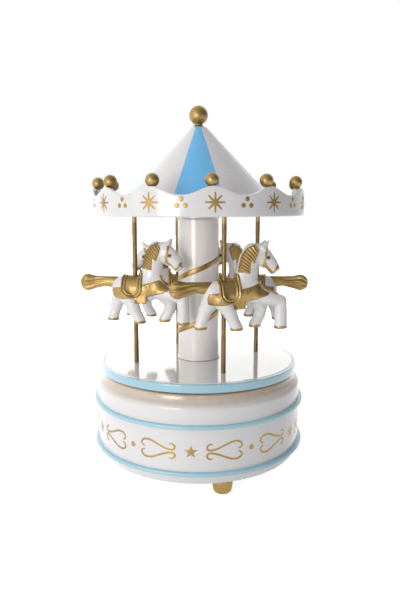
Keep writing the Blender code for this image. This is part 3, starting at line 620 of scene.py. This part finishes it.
def build_platform():
    radius, bottom, top = node_size("platform")
    bore = 2.3
    socket = bottom + 3.0
    profile = rounded([
        (0.0, top, 0.0), (radius, top, 0.6), (radius, bottom, 0.3), (bore, bottom, 0.2),
        (bore, socket, 0.0), (0.0, socket, 0.0)])
    turned_piece("platform_disc", profile, platform_plastic, "carousel", ["platform"],
                 steps=FINE)
    inner = radius + 0.05
    radius, bottom, top = node_size("platform_band")
    profile = rounded([
        (inner, bottom, 0.1), (radius - 0.1, bottom, 0.5), (radius, bottom + 0.8, 1.0),
        (radius, top - 0.8, 1.0), (radius - 0.1, top, 0.5), (inner, top, 0.1)])
    turned_piece("platform_rim", profile, blue_rim, "carousel", ["platform_band"], FINE)


def build_column():
    inner = column_radius - 1.6
    foot = column_bottom - 0.1
    profile = rounded([
        (column_radius + 0.5, foot, 0.2), (column_radius + 0.35, column_bottom + 0.7, 0.5),
        (column_radius, column_bottom + 1.0, 0.3), (column_radius, column_top, 0.15),
        (inner, column_top, 0.1), (inner, foot, 0.1)])
    turned_piece("column_tube", profile, column_plastic, "carousel", ["column"])
    radius, bottom, top = node_size("column_collar")
    profile = rounded([(radius, bottom, 0.25), (radius, top, 0.2), (inner, top, 0.1), (inner, bottom, 0.1)])
    turned_piece("column_cap_ring", profile, column_plastic, "carousel", ["column_collar"])


def build_ribbon():
    """The gold ribbon that climbs the column as a right-hand helix."""
    low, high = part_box("column_ribbon")
    width = 2.7
    pitch = 26.5
    start_azimuth = -115.0
    start = low.z / MM + 0.5 * width
    end = high.z / MM - 0.5 * width
    turns = (end - start) / pitch
    count = int(turns * 96)
    section = [
        (-0.5, -0.05), (-0.5, 0.16), (-0.42, 0.27), (-0.2, 0.31), (0.2, 0.31), (0.42, 0.27),
        (0.5, 0.16), (0.5, -0.05)]
    verts = []
    for index in range(count + 1):
        turn = turns * index / count
        close = min(1.0, 10.0 * min(turn, turns - turn) + 0.12) ** 0.5
        for across, lift in section:
            place = on_circle(column_radius + 0.02 + lift, start_azimuth + 360.0 * turn)
            verts.append((place.x, place.y, start + pitch * turn + across * width * close))
    make_piece("column_ribbon_gold", verts, tube_faces(count + 1, len(section)), [gold], "carousel",
               ["column_ribbon"])


def crown_edge(azimuth):
    wave = 0.5 + 0.5 * math.cos(math.radians(crest_count * (azimuth - crest_azimuth)))
    return crown_top - crest_depth + crest_depth * wave ** 1.2


def build_crown():
    """The scalloped wall, with a rounded top edge that follows its twelve crests."""
    steps = 360
    outer = crown_radius
    inner = crown_inner
    across = [
        (outer - 0.25, "foot", 0.0), (outer - 0.05, "foot", 0.15), (outer, "foot", 0.4),
        (outer, "foot", 1.0), (outer, "edge", -1.2), (outer, "edge", -0.55), (outer - 0.16, "edge", -0.2),
        (outer - 0.5, "edge", -0.02), (inner + 0.5, "edge", -0.02), (inner + 0.16, "edge", -0.2),
        (inner, "edge", -0.55), (inner, "edge", -1.2), (inner, "foot", 1.0), (inner, "foot", 0.4),
        (inner + 0.25, "foot", 0.0)]
    verts = []
    for step in range(steps):
        azimuth = 360.0 * step / steps
        levels = {"foot": crown_bottom, "edge": crown_edge(azimuth)}
        for radius, end, height in across:
            verts.append(on_circle(radius, azimuth, levels[end] + height))
    make_piece("crown_scallops", verts, tube_faces(steps, len(across), closed=True), [white_plastic],
               "carousel", ["crown_wall"], sharp=60.0)

    inside = crown_inner - 0.05
    hole = 2.5
    bottom = crown_bottom + 0.5
    top = roof_bottom - 0.3
    profile = rounded([(hole, top, 0.1), (inside, top, 0.2), (inside, bottom, 0.3), (hole, bottom, 0.1)])
    turned_piece("canopy_disc", profile, white_plastic, "carousel", ["canopy_deck"],
                 steps=FINE)


def printed(azimuth):
    """The print on the crown is stretched a little away from the front."""
    return math.radians(azimuth + 2.3 * math.sin(math.radians(azimuth))) * crown_radius


def build_crown_paint():
    """Gold bursts of eight rays under the crests, and three dots under each valley."""
    decal = Decal(crown_radius)
    burst_height = 133.3
    hub_outer = 1.9
    hub_inner = 1.35
    long_ray = 4.35
    short_ray = 4.1
    dot_radius = 1.05
    dot_spread = 1.8
    top_dot_height = 134.7
    side_dot_height = 132.0
    for index in range(crest_count):
        azimuth = crest_azimuth + index * 360.0 / crest_count
        if azimuth > 180.0:
            azimuth -= 360.0
        centre = printed(azimuth)
        decal.star((centre, burst_height), hub_outer, hub_inner, 8, turn=0.0)
        for ray in range(8):
            angle = math.radians(45.0 * ray)
            reach = long_ray if ray % 2 == 0 else short_ray
            outward = Vector((math.cos(angle), math.sin(angle)))
            side = outward.orthogonal()
            outline = [
                -side * 0.58, outward * (reach - 0.3) - side * 0.34, outward * reach - side * 0.16,
                outward * reach + side * 0.16, outward * (reach - 0.3) + side * 0.34, side * 0.58,
                -outward * 0.6]
            middle = outward * 0.5 * reach
            decal.patch([point - middle for point in outline], Vector((centre, burst_height)) + middle)
        centre = printed(azimuth + 180.0 / crest_count)
        decal.dot((centre, top_dot_height), dot_radius)
        for side in (-1.0, 1.0):
            decal.dot((centre + side * dot_spread, side_dot_height), dot_radius)
    decal.piece("crown_bursts", "carousel")


def build_roof():
    """A smooth cone with painted stripes at the front, the back and both sides, and a rounded top."""
    half_stripes = (17.6, 20.0, 17.6, 20.0)
    stripes = len(half_stripes)
    stripe_steps = 24
    gap_steps = 36
    top_radius = 3.9
    hole = 1.8
    skin = 1.5
    azimuths = []
    for index, half in enumerate(half_stripes):
        middle = index * 360.0 / stripes
        gap = 360.0 / stripes - half - half_stripes[(index + 1) % stripes]
        azimuths += [middle - half + 2.0 * half * step / stripe_steps for step in range(stripe_steps)]
        azimuths += [middle + half + gap * step / gap_steps for step in range(gap_steps)]
    profile = rounded([
        (roof_base, roof_bottom, 0.3), (top_radius, roof_top - 0.2, 1.2), (top_radius - 1.4, roof_top, 0.4),
        (hole, roof_top, 0.1), (hole, roof_top - skin, 0.2), (top_radius - 0.4, roof_top - skin, 0.3),
        (roof_base - 1.4 * skin, roof_bottom, 0.3)])
    verts = []
    painted = []
    for radius, height in profile:
        verts += [on_circle(radius, azimuth, height) for azimuth in azimuths]
        painted += ([0] * stripe_steps + [1] * gap_steps) * stripes
    make_piece("roof_stripes", verts, tube_faces(len(profile), len(azimuths), closed=True),
               [sky_blue, roof_white], "carousel", ["roof_cone"],
               face_materials=painted, sharp=30.0)


def ball_profile(centre, radius, neck_radius, bottom, steps=22):
    """A ball on a stem, from its top down to the stem's end."""
    lowest = math.asin(neck_radius / radius)
    points = []
    for step in range(steps + 1):
        angle = math.pi * 0.5 - (math.pi - lowest) * step / steps
        points.append((max(0.0, radius * math.cos(angle)), centre + radius * math.sin(angle)))
    points += [(neck_radius, bottom), (0.0, bottom)]
    return points


def build_balls():
    """The balls on the crests with the posts they stand on, and the ball at the top."""
    radius = 3.0
    circle = 49.0
    first_azimuth = crest_azimuth - 0.7
    for index in range(1, crest_count + 1):
        node = "crown_ball_%02d" % index
        place = on_circle(circle, first_azimuth + (index - 1) * 360.0 / crest_count)
        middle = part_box(node)[1].z / MM - radius - 0.2
        sole = middle - radius
        turned_piece(node + "_gilt", ball_profile(middle, radius, 0.9, sole - 1.0), gold, "carousel",
                     [node], steps=48, centre=place)
        profile = rounded([
            (0.0, roof_bottom, 0.0), (2.3, roof_bottom, 0.3), (1.75, roof_bottom + 3.0, 1.0),
            (1.6, sole - 0.9, 0.6), (1.0, sole + 0.2, 0.2), (0.0, sole + 0.3, 0.0)])
        turned_piece("crown_post_%02d" % index, profile, roof_white, "carousel",
                     steps=32, centre=place)
    bottom, top = node_size("finial_ball")[1:]
    radius = 4.6
    spigot = 1.5
    points = ball_profile(top - radius, radius, 1.9, roof_top + 0.9, steps=30)[:-1]
    points += [
        (2.5, roof_top + 0.45), (2.7, roof_top + 0.15), (2.4, roof_top + 0.02), (spigot, roof_top),
        (spigot, bottom), (0.0, bottom)]
    turned_piece("finial_gilt", points, gold, "carousel", ["finial_ball"], steps=96)


def build_poles():
    radius = 1.1
    foot_points = 7
    for index in range(1, 5):
        node = "pole_%d" % index
        bottom, top = node_size(node)[1:]
        profile = rounded([(0.0, top, 0.0), (radius, top, 0.2), (radius, bottom, 0.2), (0.0, bottom, 0.0)])
        rows = [(radius, bottom + (top - bottom) * share / 16.0) for share in range(15, 0, -1)]
        profile = profile[:-foot_points] + rows + profile[-foot_points:]
        turned_piece(node + "_rod", profile, gold, "carousel", [node], 40, node_centre(node))


# Horses
#
# A horse is sculpted as a distance field, in millimetres, in its own axes: x forward from the
# pole, y to its left and z up from the soles of its hooves.

OUTSIDE = -9.0
BARREL = [(-4.6, 0.0, 16.7, 5.9), (2.0, 0.0, 16.3, 6.3), (8.0, 0.0, 16.7, 6.2), (12.0, 0.0, 18.0, 5.7)]
NECK = [(9.4, 0.0, 20.6, 5.7), (9.9, 0.0, 25.0, 5.2), (10.5, 0.0, 29.5, 4.9), (12.4, 0.0, 35.0, 4.7)]
HEAD = [(16.4, 0.0, 36.1, 3.4), (18.8, 0.0, 33.0, 3.7), (21.6, 0.0, 30.1, 3.15), (23.4, 0.0, 27.3, 2.75)]
JAW = [(16.0, 0.0, 33.2, 3.4), (18.2, 0.0, 30.6, 2.6)]
LEGS = {
    "near_hind": [(-2.6, -1.7, 14.2, 4.6), (0.8, -2.9, 9.0, 3.3), (2.6, -3.1, 4.8, 2.75),
                  (4.3, -3.1, 1.2, 2.95)],
    "far_hind": [(-6.0, 1.7, 14.6, 4.6), (-8.8, 2.9, 9.0, 3.3), (-10.2, 3.1, 4.8, 2.7),
                 (-11.1, 3.1, 1.2, 2.9)],
    "near_fore": [(14.4, -1.6, 15.6, 3.9), (20.2, -2.7, 14.2, 3.2), (25.5, -2.9, 12.9, 2.95),
                  (25.9, -3.0, 7.0, 2.85), (25.8, -3.0, 1.2, 3.05)],
    "far_fore": [(13.6, 1.6, 14.8, 3.9), (18.2, 2.8, 9.8, 3.1), (17.6, 3.1, 5.4, 2.65),
                 (15.2, 3.1, 1.2, 2.85)],
}
TAIL = [(-7.4, 0.0, 19.4, 3.0), (-14.0, 0.0, 19.9, 2.5), (-18.4, 0.0, 19.4, 2.9), (-22.3, 0.0, 19.2, 4.0)]


def chain_distance(points, stations, flatness=1.0):
    """Distance to a chain of tapered, sideways-flattened limbs."""
    nearest = np.full(len(points), 1e9)
    squeezed = points * np.array([1.0, 1.0 / flatness, 1.0])
    for start, end in zip(stations, stations[1:]):
        a = np.array([start[0], start[1] / flatness, start[2]])
        b = np.array([end[0], end[1] / flatness, end[2]])
        along = np.clip(((squeezed - a) @ (b - a)) / ((b - a) @ (b - a)), 0.0, 1.0)
        radius = start[3] + (end[3] - start[3]) * along
        beside = squeezed - a - along[:, None] * (b - a)
        nearest = np.minimum(nearest, np.linalg.norm(beside, axis=1) - radius)
    return nearest


def slab_distance(points, centre, half, radius):
    """Distance to a box with rounded edges."""
    beyond = np.abs(points - np.array(centre)) - np.array(half) + radius
    outside = np.linalg.norm(np.maximum(beyond, 0.0), axis=1)
    return outside + np.minimum(beyond.max(axis=1), 0.0) - radius


def blend(first, second, width):
    """Smooth union of two distances."""
    share = np.clip(0.5 + 0.5 * (second - first) / width, 0.0, 1.0)
    return second + (first - second) * share - width * share * (1.0 - share)


def horse_distance(points):
    form = chain_distance(points, BARREL, 0.80)
    form = blend(form, chain_distance(points, NECK, 0.66), 1.6)
    head = chain_distance(points, HEAD, 0.80)
    muzzle = 0.61 * points[:, 0] - 0.79 * points[:, 2] + 5.94
    head = -blend(-head, -np.where(points[:, 0] > 16.0, muzzle, OUTSIDE), 0.9)
    form = blend(form, head, 1.3)
    form = blend(form, chain_distance(points, JAW, 0.84), 0.9)
    for side in (-1.0, 1.0):
        ear = [(17.3, 1.4 * side, 37.4, 2.1), (19.3, 1.9 * side, 40.4, 0.55)]
        form = blend(form, chain_distance(points, ear), 0.6)
        form = blend(form, slab_distance(points, (5.2, 3.6 * side, 12.6), (2.75, 1.1, 2.8), 0.5), 0.4)
    legs = np.full(len(points), 1e9)
    for stations in LEGS.values():
        legs = np.minimum(legs, chain_distance(points, stations, 0.92))
    form = blend(form, legs, 1.1)
    return np.maximum(form, -points[:, 2])


def tail_distance(points):
    return chain_distance(points, TAIL, 0.70)


def surface_mesh(distance, low, high, step):
    """Points and square faces of a distance field's zero surface, by surface nets."""
    axes = [np.arange(low[axis], high[axis] + step, step) for axis in range(3)]
    grid = np.stack(np.meshgrid(*axes, indexing="ij"), axis=-1)
    shape = grid.shape[:3]
    field = distance(grid.reshape(-1, 3)).reshape(shape)
    cells = tuple(size - 1 for size in shape)
    total = np.zeros((*cells, 3))
    count = np.zeros(cells)
    crossings = []
    for axis in range(3):
        a = np.delete(field, -1, axis)
        b = np.delete(field, 0, axis)
        where = np.argwhere((a < 0) != (b < 0))
        value_a = a[tuple(where.T)]
        value_b = b[tuple(where.T)]
        place = where.astype(float)
        place[:, axis] += value_a / (value_a - value_b)
        others = [other for other in range(3) if other != axis]
        around = []
        for back_first, back_second in ((1, 1), (0, 1), (0, 0), (1, 0)):
            cell = where.copy()
            cell[:, others[0]] -= back_first
            cell[:, others[1]] -= back_second
            around.append(cell)
            np.add.at(total, tuple(cell.T), place)
            np.add.at(count, tuple(cell.T), 1)
        flip = (value_a < 0) ^ (axis == 1)
        crossings.append((around, flip))
    used = np.argwhere(count > 0)
    number = np.full(cells, -1)
    number[tuple(used.T)] = np.arange(len(used))
    verts = total[tuple(used.T)] / count[tuple(used.T)][:, None] * step + np.array(low)
    faces = []
    for around, flip in crossings:
        corners = np.stack([number[tuple(cell.T)] for cell in around], axis=1)
        corners[~flip] = corners[~flip][:, ::-1]
        faces.append(corners)
    return verts, np.concatenate(faces)


def gradient(distance, points):
    reach = 0.05
    slopes = []
    for axis in range(3):
        offset = np.zeros(3)
        offset[axis] = reach
        slopes.append(distance(points + offset) - distance(points - offset))
    slopes = np.stack(slopes, axis=1)
    return slopes / np.maximum(np.linalg.norm(slopes, axis=1), 1e-9)[:, None]


def refine(mesh, distance):
    """Subdivide a mesh once and settle its points on the surface; returns points and outward normals."""
    bm = bmesh.new()
    bm.from_mesh(mesh)
    bmesh.ops.subdivide_edges(bm, edges=bm.edges, cuts=1, use_grid_fill=True)
    bm.to_mesh(mesh)
    bm.free()
    points = np.zeros(len(mesh.vertices) * 3)
    mesh.vertices.foreach_get("co", points)
    points = points.reshape(-1, 3)
    for _ in range(3):
        points = points - gradient(distance, points) * distance(points)[:, None] * 0.9
    return points, gradient(distance, points)


def edge_distance(x, z, a, b):
    """Distance in the side view to the straight edge between two points."""
    edge = b - a
    along = np.clip(((x - a[0]) * edge[0] + (z - a[1]) * edge[1]) / (edge @ edge), 0.0, 1.0)
    return np.hypot(x - a[0] - along * edge[0], z - a[1] - along * edge[1])


def polygon_distance(x, z, outline):
    """Signed distance to a closed outline in the side view, positive inside."""
    outline = np.array(outline)
    nearest = np.full(len(x), 1e9)
    inside = np.zeros(len(x), bool)
    for a, b in zip(outline, np.roll(outline, -1, axis=0)):
        nearest = np.minimum(nearest, edge_distance(x, z, a, b))
        edge = b - a
        crosses = (a[1] > z) != (b[1] > z)
        with np.errstate(divide="ignore", invalid="ignore"):
            reach = a[0] + (z - a[1]) * edge[0] / (edge[1] if edge[1] else 1e-9)
        inside ^= crosses & (x < reach)
    return np.where(inside, nearest, -nearest)


def line_distance(x, z, points):
    nearest = np.full(len(x), 1e9)
    for a, b in zip(points, points[1:]):
        nearest = np.minimum(nearest, edge_distance(x, z, np.array(a), np.array(b)))
    return nearest


def step_up(value, width=0.25):
    """0 below zero and 1 above width, with a smooth ramp."""
    share = np.clip(value / width, 0.0, 1.0)
    return share * share * (3.0 - 2.0 * share)


def ridge(value, centre, half_width):
    return np.clip(1.0 - ((value - centre) / half_width) ** 2, 0.0, 1.0) ** 0.5


CLOTH = [
    (-8.9, 17.2), (-9.5, 15.0), (-9.0, 12.5), (-7.7, 11.8), (1.8, 12.4), (2.1, 9.8), (8.0, 9.8), (8.4, 13.0),
    (13.2, 14.2), (18.2, 15.8), (19.8, 17.2), (16.8, 19.0), (14.4, 21.4), (9.8, 19.9), (5.4, 19.0)]
MANE = [
    (5.2, 26.4), (5.6, 30.2), (6.7, 34.2), (9.4, 37.7), (13.2, 39.2), (14.8, 36.4), (14.0, 33.8),
    (12.6, 30.2), (10.9, 31.2), (10.4, 25.9), (8.6, 26.2), (7.4, 26.4)]
BRIDLE = [
    (18.5, 37.2), (18.0, 34.6), (17.6, 32.2), (17.5, 30.2), (19.4, 28.5), (21.5, 26.4), (22.4, 26.7),
    (24.4, 29.2)]
BREAST_STRAP = [(14.4, 23.2), (15.2, 21.2), (17.4, 19.2), (21.4, 17.3), (24.0, 16.5)]
SCROLL = [(7.2, 18.2), (8.0, 19.2), (9.4, 18.9), (9.7, 17.6), (8.6, 16.6), (7.4, 17.4), (8.3, 18.0)]
MOUTH = [(24.0, 25.9), (22.8, 27.1)]
EYE = (19.2, 33.0)
EYE_RADIUS = 0.70
SADDLE_MIDDLE = (0.7, 20.4)
SADDLE_HALF = (5.3, 8.0)
SADDLE_CORNER = 4.9


def horse_relief(points):
    """How far the surface stands out, and the signed edges of the gold and the black paint."""
    x, y, z = points.T
    flank = np.abs(y)

    cloth = np.where(z < 22.5, polygon_distance(x, z, CLOTH), OUTSIDE)
    saddle_x = np.abs(x - SADDLE_MIDDLE[0]) - SADDLE_HALF[0] + SADDLE_CORNER
    saddle_z = np.abs(z - SADDLE_MIDDLE[1]) - SADDLE_HALF[1] + SADDLE_CORNER
    saddle = -(np.hypot(np.maximum(saddle_x, 0.0), np.maximum(saddle_z, 0.0))
               + np.minimum(np.maximum(saddle_x, saddle_z), 0.0) - SADDLE_CORNER)
    on_body = (z > 9.0) & (z < 26.0) & (x < 6.5)
    saddle = np.where(on_body, saddle, OUTSIDE)
    strands = np.arctan2(z - 18.0, x - 25.0)
    mane = np.where((flank > 0.8) & (z > 24.0), polygon_distance(x, z, MANE), OUTSIDE)

    head = (x > 15.0) & (z > 25.0)
    cheek = np.where(head & (flank > 0.8), 0.58 - line_distance(x, z, BRIDLE), OUTSIDE)
    ring = np.where(flank > 0.9, 0.95 - np.hypot(x - 17.7, z - 30.0), OUTSIDE)
    bridle = np.maximum(cheek, ring)

    on_breast = (x > 12.0) & (z > 14.5) & (z < 24.0)
    breast = np.where(on_breast, 0.45 - line_distance(x, z, BREAST_STRAP), OUTSIDE)
    scroll = line_distance(x, z, SCROLL)
    hooves = 1.35 - z

    relief = 0.30 * step_up(cloth, 0.35)
    relief += np.where(cloth > 0.5, 0.16 * np.clip(1.0 - scroll / 0.42, 0.0, 1.0), 0.0)
    relief = np.maximum(relief, 0.45 * step_up(saddle, 0.3))
    relief += np.where(saddle > 0.0, 0.50 * ridge(saddle, 0.6, 0.6) + 0.36 * ridge(saddle, 2.0, 0.5), 0.0)
    relief += np.where(mane > 0.0, 0.62 * step_up(mane, 0.5) * (0.60 + 0.40 * np.cos(105.0 * strands)), 0.0)
    relief += 0.28 * np.clip(bridle / 0.42, 0.0, 1.0) ** 0.5
    relief = np.maximum(relief, 0.50 * np.clip(breast / 0.45, 0.0, 1.0) ** 0.5)
    relief += 0.12 * step_up(hooves, 0.3)
    nostril = np.hypot(x - 24.7, z - 28.0) + np.maximum(0.0, 0.8 - flank)
    relief -= 0.30 * np.clip(1.0 - nostril / 0.55, 0.0, 1.0)
    mouth = line_distance(x, z, MOUTH)
    relief -= 0.22 * np.clip(1.0 - mouth / 0.35, 0.0, 1.0)
    eye = EYE_RADIUS - np.hypot(x - EYE[0], (z - EYE[1]) * 1.15)
    eye = np.where(flank > 0.9, eye, OUTSIDE)
    relief += 0.22 * np.clip(eye / EYE_RADIUS, 0.0, 1.0) ** 0.5

    gold_edge = np.maximum.reduce([cloth, saddle, mane, bridle, breast, hooves])
    gold_edge = np.minimum(gold_edge, -eye)
    black_edge = np.maximum(eye, 0.16 - nostril)
    return relief, np.clip(gold_edge, -2.0, 2.0), np.clip(black_edge, -2.0, 2.0)


def tail_relief(points):
    x, y, z = points.T
    around = np.arctan2(y * 1.5, z - 19.4 - 0.13 * (x + 18.0))
    wave = np.cos(9.0 * around + 1.1 * np.sin(0.5 * x))
    grow = step_up(-11.0 - x, 8.0)
    return (0.26 * grow * wave,)


def sculpt(name, distance, relief, low, high, step):
    """A mesh of a distance field with its relief pressed in, in metres."""
    verts, faces = surface_mesh(distance, low, high, step)
    mesh = bpy.data.meshes.new(name)
    mesh.from_pydata(verts.tolist(), [], faces.tolist())
    points, normals = refine(mesh, distance)
    offset, *paint = relief(points)
    points = points + normals * offset[:, None]
    points[:, 2] = np.maximum(points[:, 2], 0.0)
    mesh.vertices.foreach_set("co", (points * MM).ravel())
    for label, values in zip(("gold", "black"), paint):
        layer = mesh.attributes.new(label, "FLOAT", "POINT")
        layer.data.foreach_set("value", values.astype(np.float32))
    mesh.shade_smooth()
    mesh.update()
    return mesh


def build_horses():
    body_low = (-15.5, -7.5, -1.0)
    body_high = (31.0, 7.5, 43.0)
    body_mesh = sculpt("horse_sculpt", horse_distance, horse_relief, body_low, body_high, 0.45)
    body_mesh.materials.append(horse_paint)
    tail_low = (-28.5, -5.0, 13.0)
    tail_high = (-3.0, 5.0, 26.0)
    tail_mesh = sculpt("tail_sculpt", tail_distance, tail_relief, tail_low, tail_high, 0.4)
    tail_mesh.materials.append(gold)
    headings = (14.4, 170.0, 190.0, -10.0)
    setbacks = (-1.0, 0.0, 0.0, 1.5)
    for number, (heading, setback) in enumerate(zip(headings, setbacks), 1):
        centre = node_centre("pole_%d" % number)
        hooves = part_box("horse_%d" % number)[0].z / MM
        turn = Matrix.Rotation(math.radians(heading), 4, "Z")
        place = Matrix.Translation((centre.x * MM, centre.y * MM, hooves * MM)) @ turn
        place = place @ Matrix.Translation((-setback * MM, 0.0, 0.0))
        body = "horse_%d_body" % number
        for label, mesh, slot in (("figure", body_mesh, "white_plastic"), ("tail", tail_mesh, "gold_paint")):
            piece = bpy.data.objects.new("horse_%d_%s" % (number, label), mesh)
            bpy.context.scene.collection.objects.link(piece)
            piece.matrix_world = place
            replaced = ["horse_%d" % number] if label == "figure" else []
            attach(piece, body, replaced)


# Studio

def build_floor():
    """Plain paper whose glow is seen by the camera and in reflections, and adds no light."""
    floor_radius = 2500.0
    verts, faces = lathe([(0.0, 0.0), (300.0, 0.0), (floor_radius, 0.0)], 96)
    mesh = bpy.data.meshes.new("studio_floor")
    mesh.from_pydata([tuple(MM * part for part in vert) for vert in verts], [], faces)
    shader = Shader("studio_paper", Emission_Color=(1.0, 1.0, 1.0, 1.0))
    tone = shader.tint(5.0, 3.0, (0.80, 0.80, 0.805), (0.78, 0.78, 0.785))
    path = shader.node("LightPath")
    seen = combine(shader.tree, "MAXIMUM", path.outputs["Is Camera Ray"], path.outputs["Is Glossy Ray"])
    glow = combine(shader.tree, "MULTIPLY", seen, 0.80)
    shader.link(glow, shader.principled.inputs["Emission Strength"])
    mesh.materials.append(shader.finish(tone, shader.remap(shader.noise(60.0), 0.55, 0.7)))
    floor = bpy.data.objects.new("studio_floor", mesh)
    bpy.context.scene.collection.objects.link(floor)


def build_world():
    """White to the camera, soft light from the left and above, and a bright back in reflections."""
    world = bpy.data.worlds.new("studio_world")
    bpy.context.scene.world = world
    world.use_nodes = True
    tree = world.node_tree
    direction = tree.nodes.new("ShaderNodeSeparateXYZ")
    tree.links.new(tree.nodes.new("ShaderNodeTexCoord").outputs["Generated"], direction.inputs["Vector"])
    path = tree.nodes.new("ShaderNodeLightPath")
    camera_ray = path.outputs["Is Camera Ray"]

    def add(first, second):
        return combine(tree, "ADD", first, second)

    def times(first, second):
        return combine(tree, "MULTIPLY", first, second)

    x, y, z = direction.outputs
    soft = add(add(times(x, -0.28), times(z, 0.10)), 0.43)
    backdrop = times(combine(tree, "MAXIMUM", y, 0.0), 1.1)
    card = add(times(x, -0.25), 0.12)
    gloss = add(times(path.outputs["Is Glossy Ray"], add(backdrop, card)), soft)
    strength = add(times(gloss, combine(tree, "SUBTRACT", 1.0, camera_ray)), camera_ray)
    background = tree.nodes["Background"]
    background.inputs["Color"].default_value = (1.0, 1.0, 1.0, 1.0)
    tree.links.new(strength, background.inputs["Strength"])


def build_lights():
    target = Vector((0.0, 0.0, 0.085))
    for name, place, size, power, colour, mirrored in (
            ("key_softbox", (-0.62, -0.42, 0.50), 0.45, 0.7, (1.0, 0.985, 0.96), True),
            ("side_softbox", (-0.76, -0.40, 0.14), 0.20, 0.15, (1.0, 0.985, 0.96), True),
            ("front_softbox", (-0.43, -0.78, 0.10), 0.34, 3.1, (1.0, 0.99, 0.98), True),
            ("back_softbox", (-0.20, 0.75, 0.55), 0.70, 3.2, (1.0, 1.0, 1.0), False)):
        light = bpy.data.lights.new(name, "AREA")
        light.shape = "SQUARE"
        light.size = size
        light.energy = power
        light.color = colour
        lamp = bpy.data.objects.new(name, light)
        lamp.visible_glossy = mirrored
        lamp.location = place
        lamp.rotation_euler = (target - Vector(place)).to_track_quat("-Z", "Y").to_euler()
        bpy.context.scene.collection.objects.link(lamp)


def build_camera():
    downward = 0.157
    camera = bpy.data.cameras.new("front_camera")
    camera.sensor_width = 36.0
    camera.lens = 35.34
    camera.shift_x = 0.0025
    camera.clip_start = 0.01
    eye = bpy.data.objects.new("front_camera", camera)
    eye.location = (0.0, -0.297, 0.1315)
    eye.rotation_euler = (0.5 * math.pi - downward, 0.0, 0.0)
    bpy.context.scene.collection.objects.link(eye)
    bpy.context.scene.camera = eye
    bpy.context.scene.view_settings.view_transform = "Standard"


def finish_cad_nodes():
    """The nodes that stay as the CAD has them get the finish of their material slot."""
    slots = {entry["node"]: entry["material_slot"] for entry in frame["record"]["subparts"]}
    for name, node in frame["nodes"].items():
        node.data.materials.clear()
        node.data.materials.append(FINISHES[slots[name]])


for build in (finish_cad_nodes, build_drum, build_lid, build_bands, build_tray, build_feet,
              build_drum_scrolls, build_platform, build_column, build_ribbon, build_crown,
              build_crown_paint, build_roof, build_balls, build_poles, build_horses,
              build_floor, build_world, build_lights, build_camera):
    build()
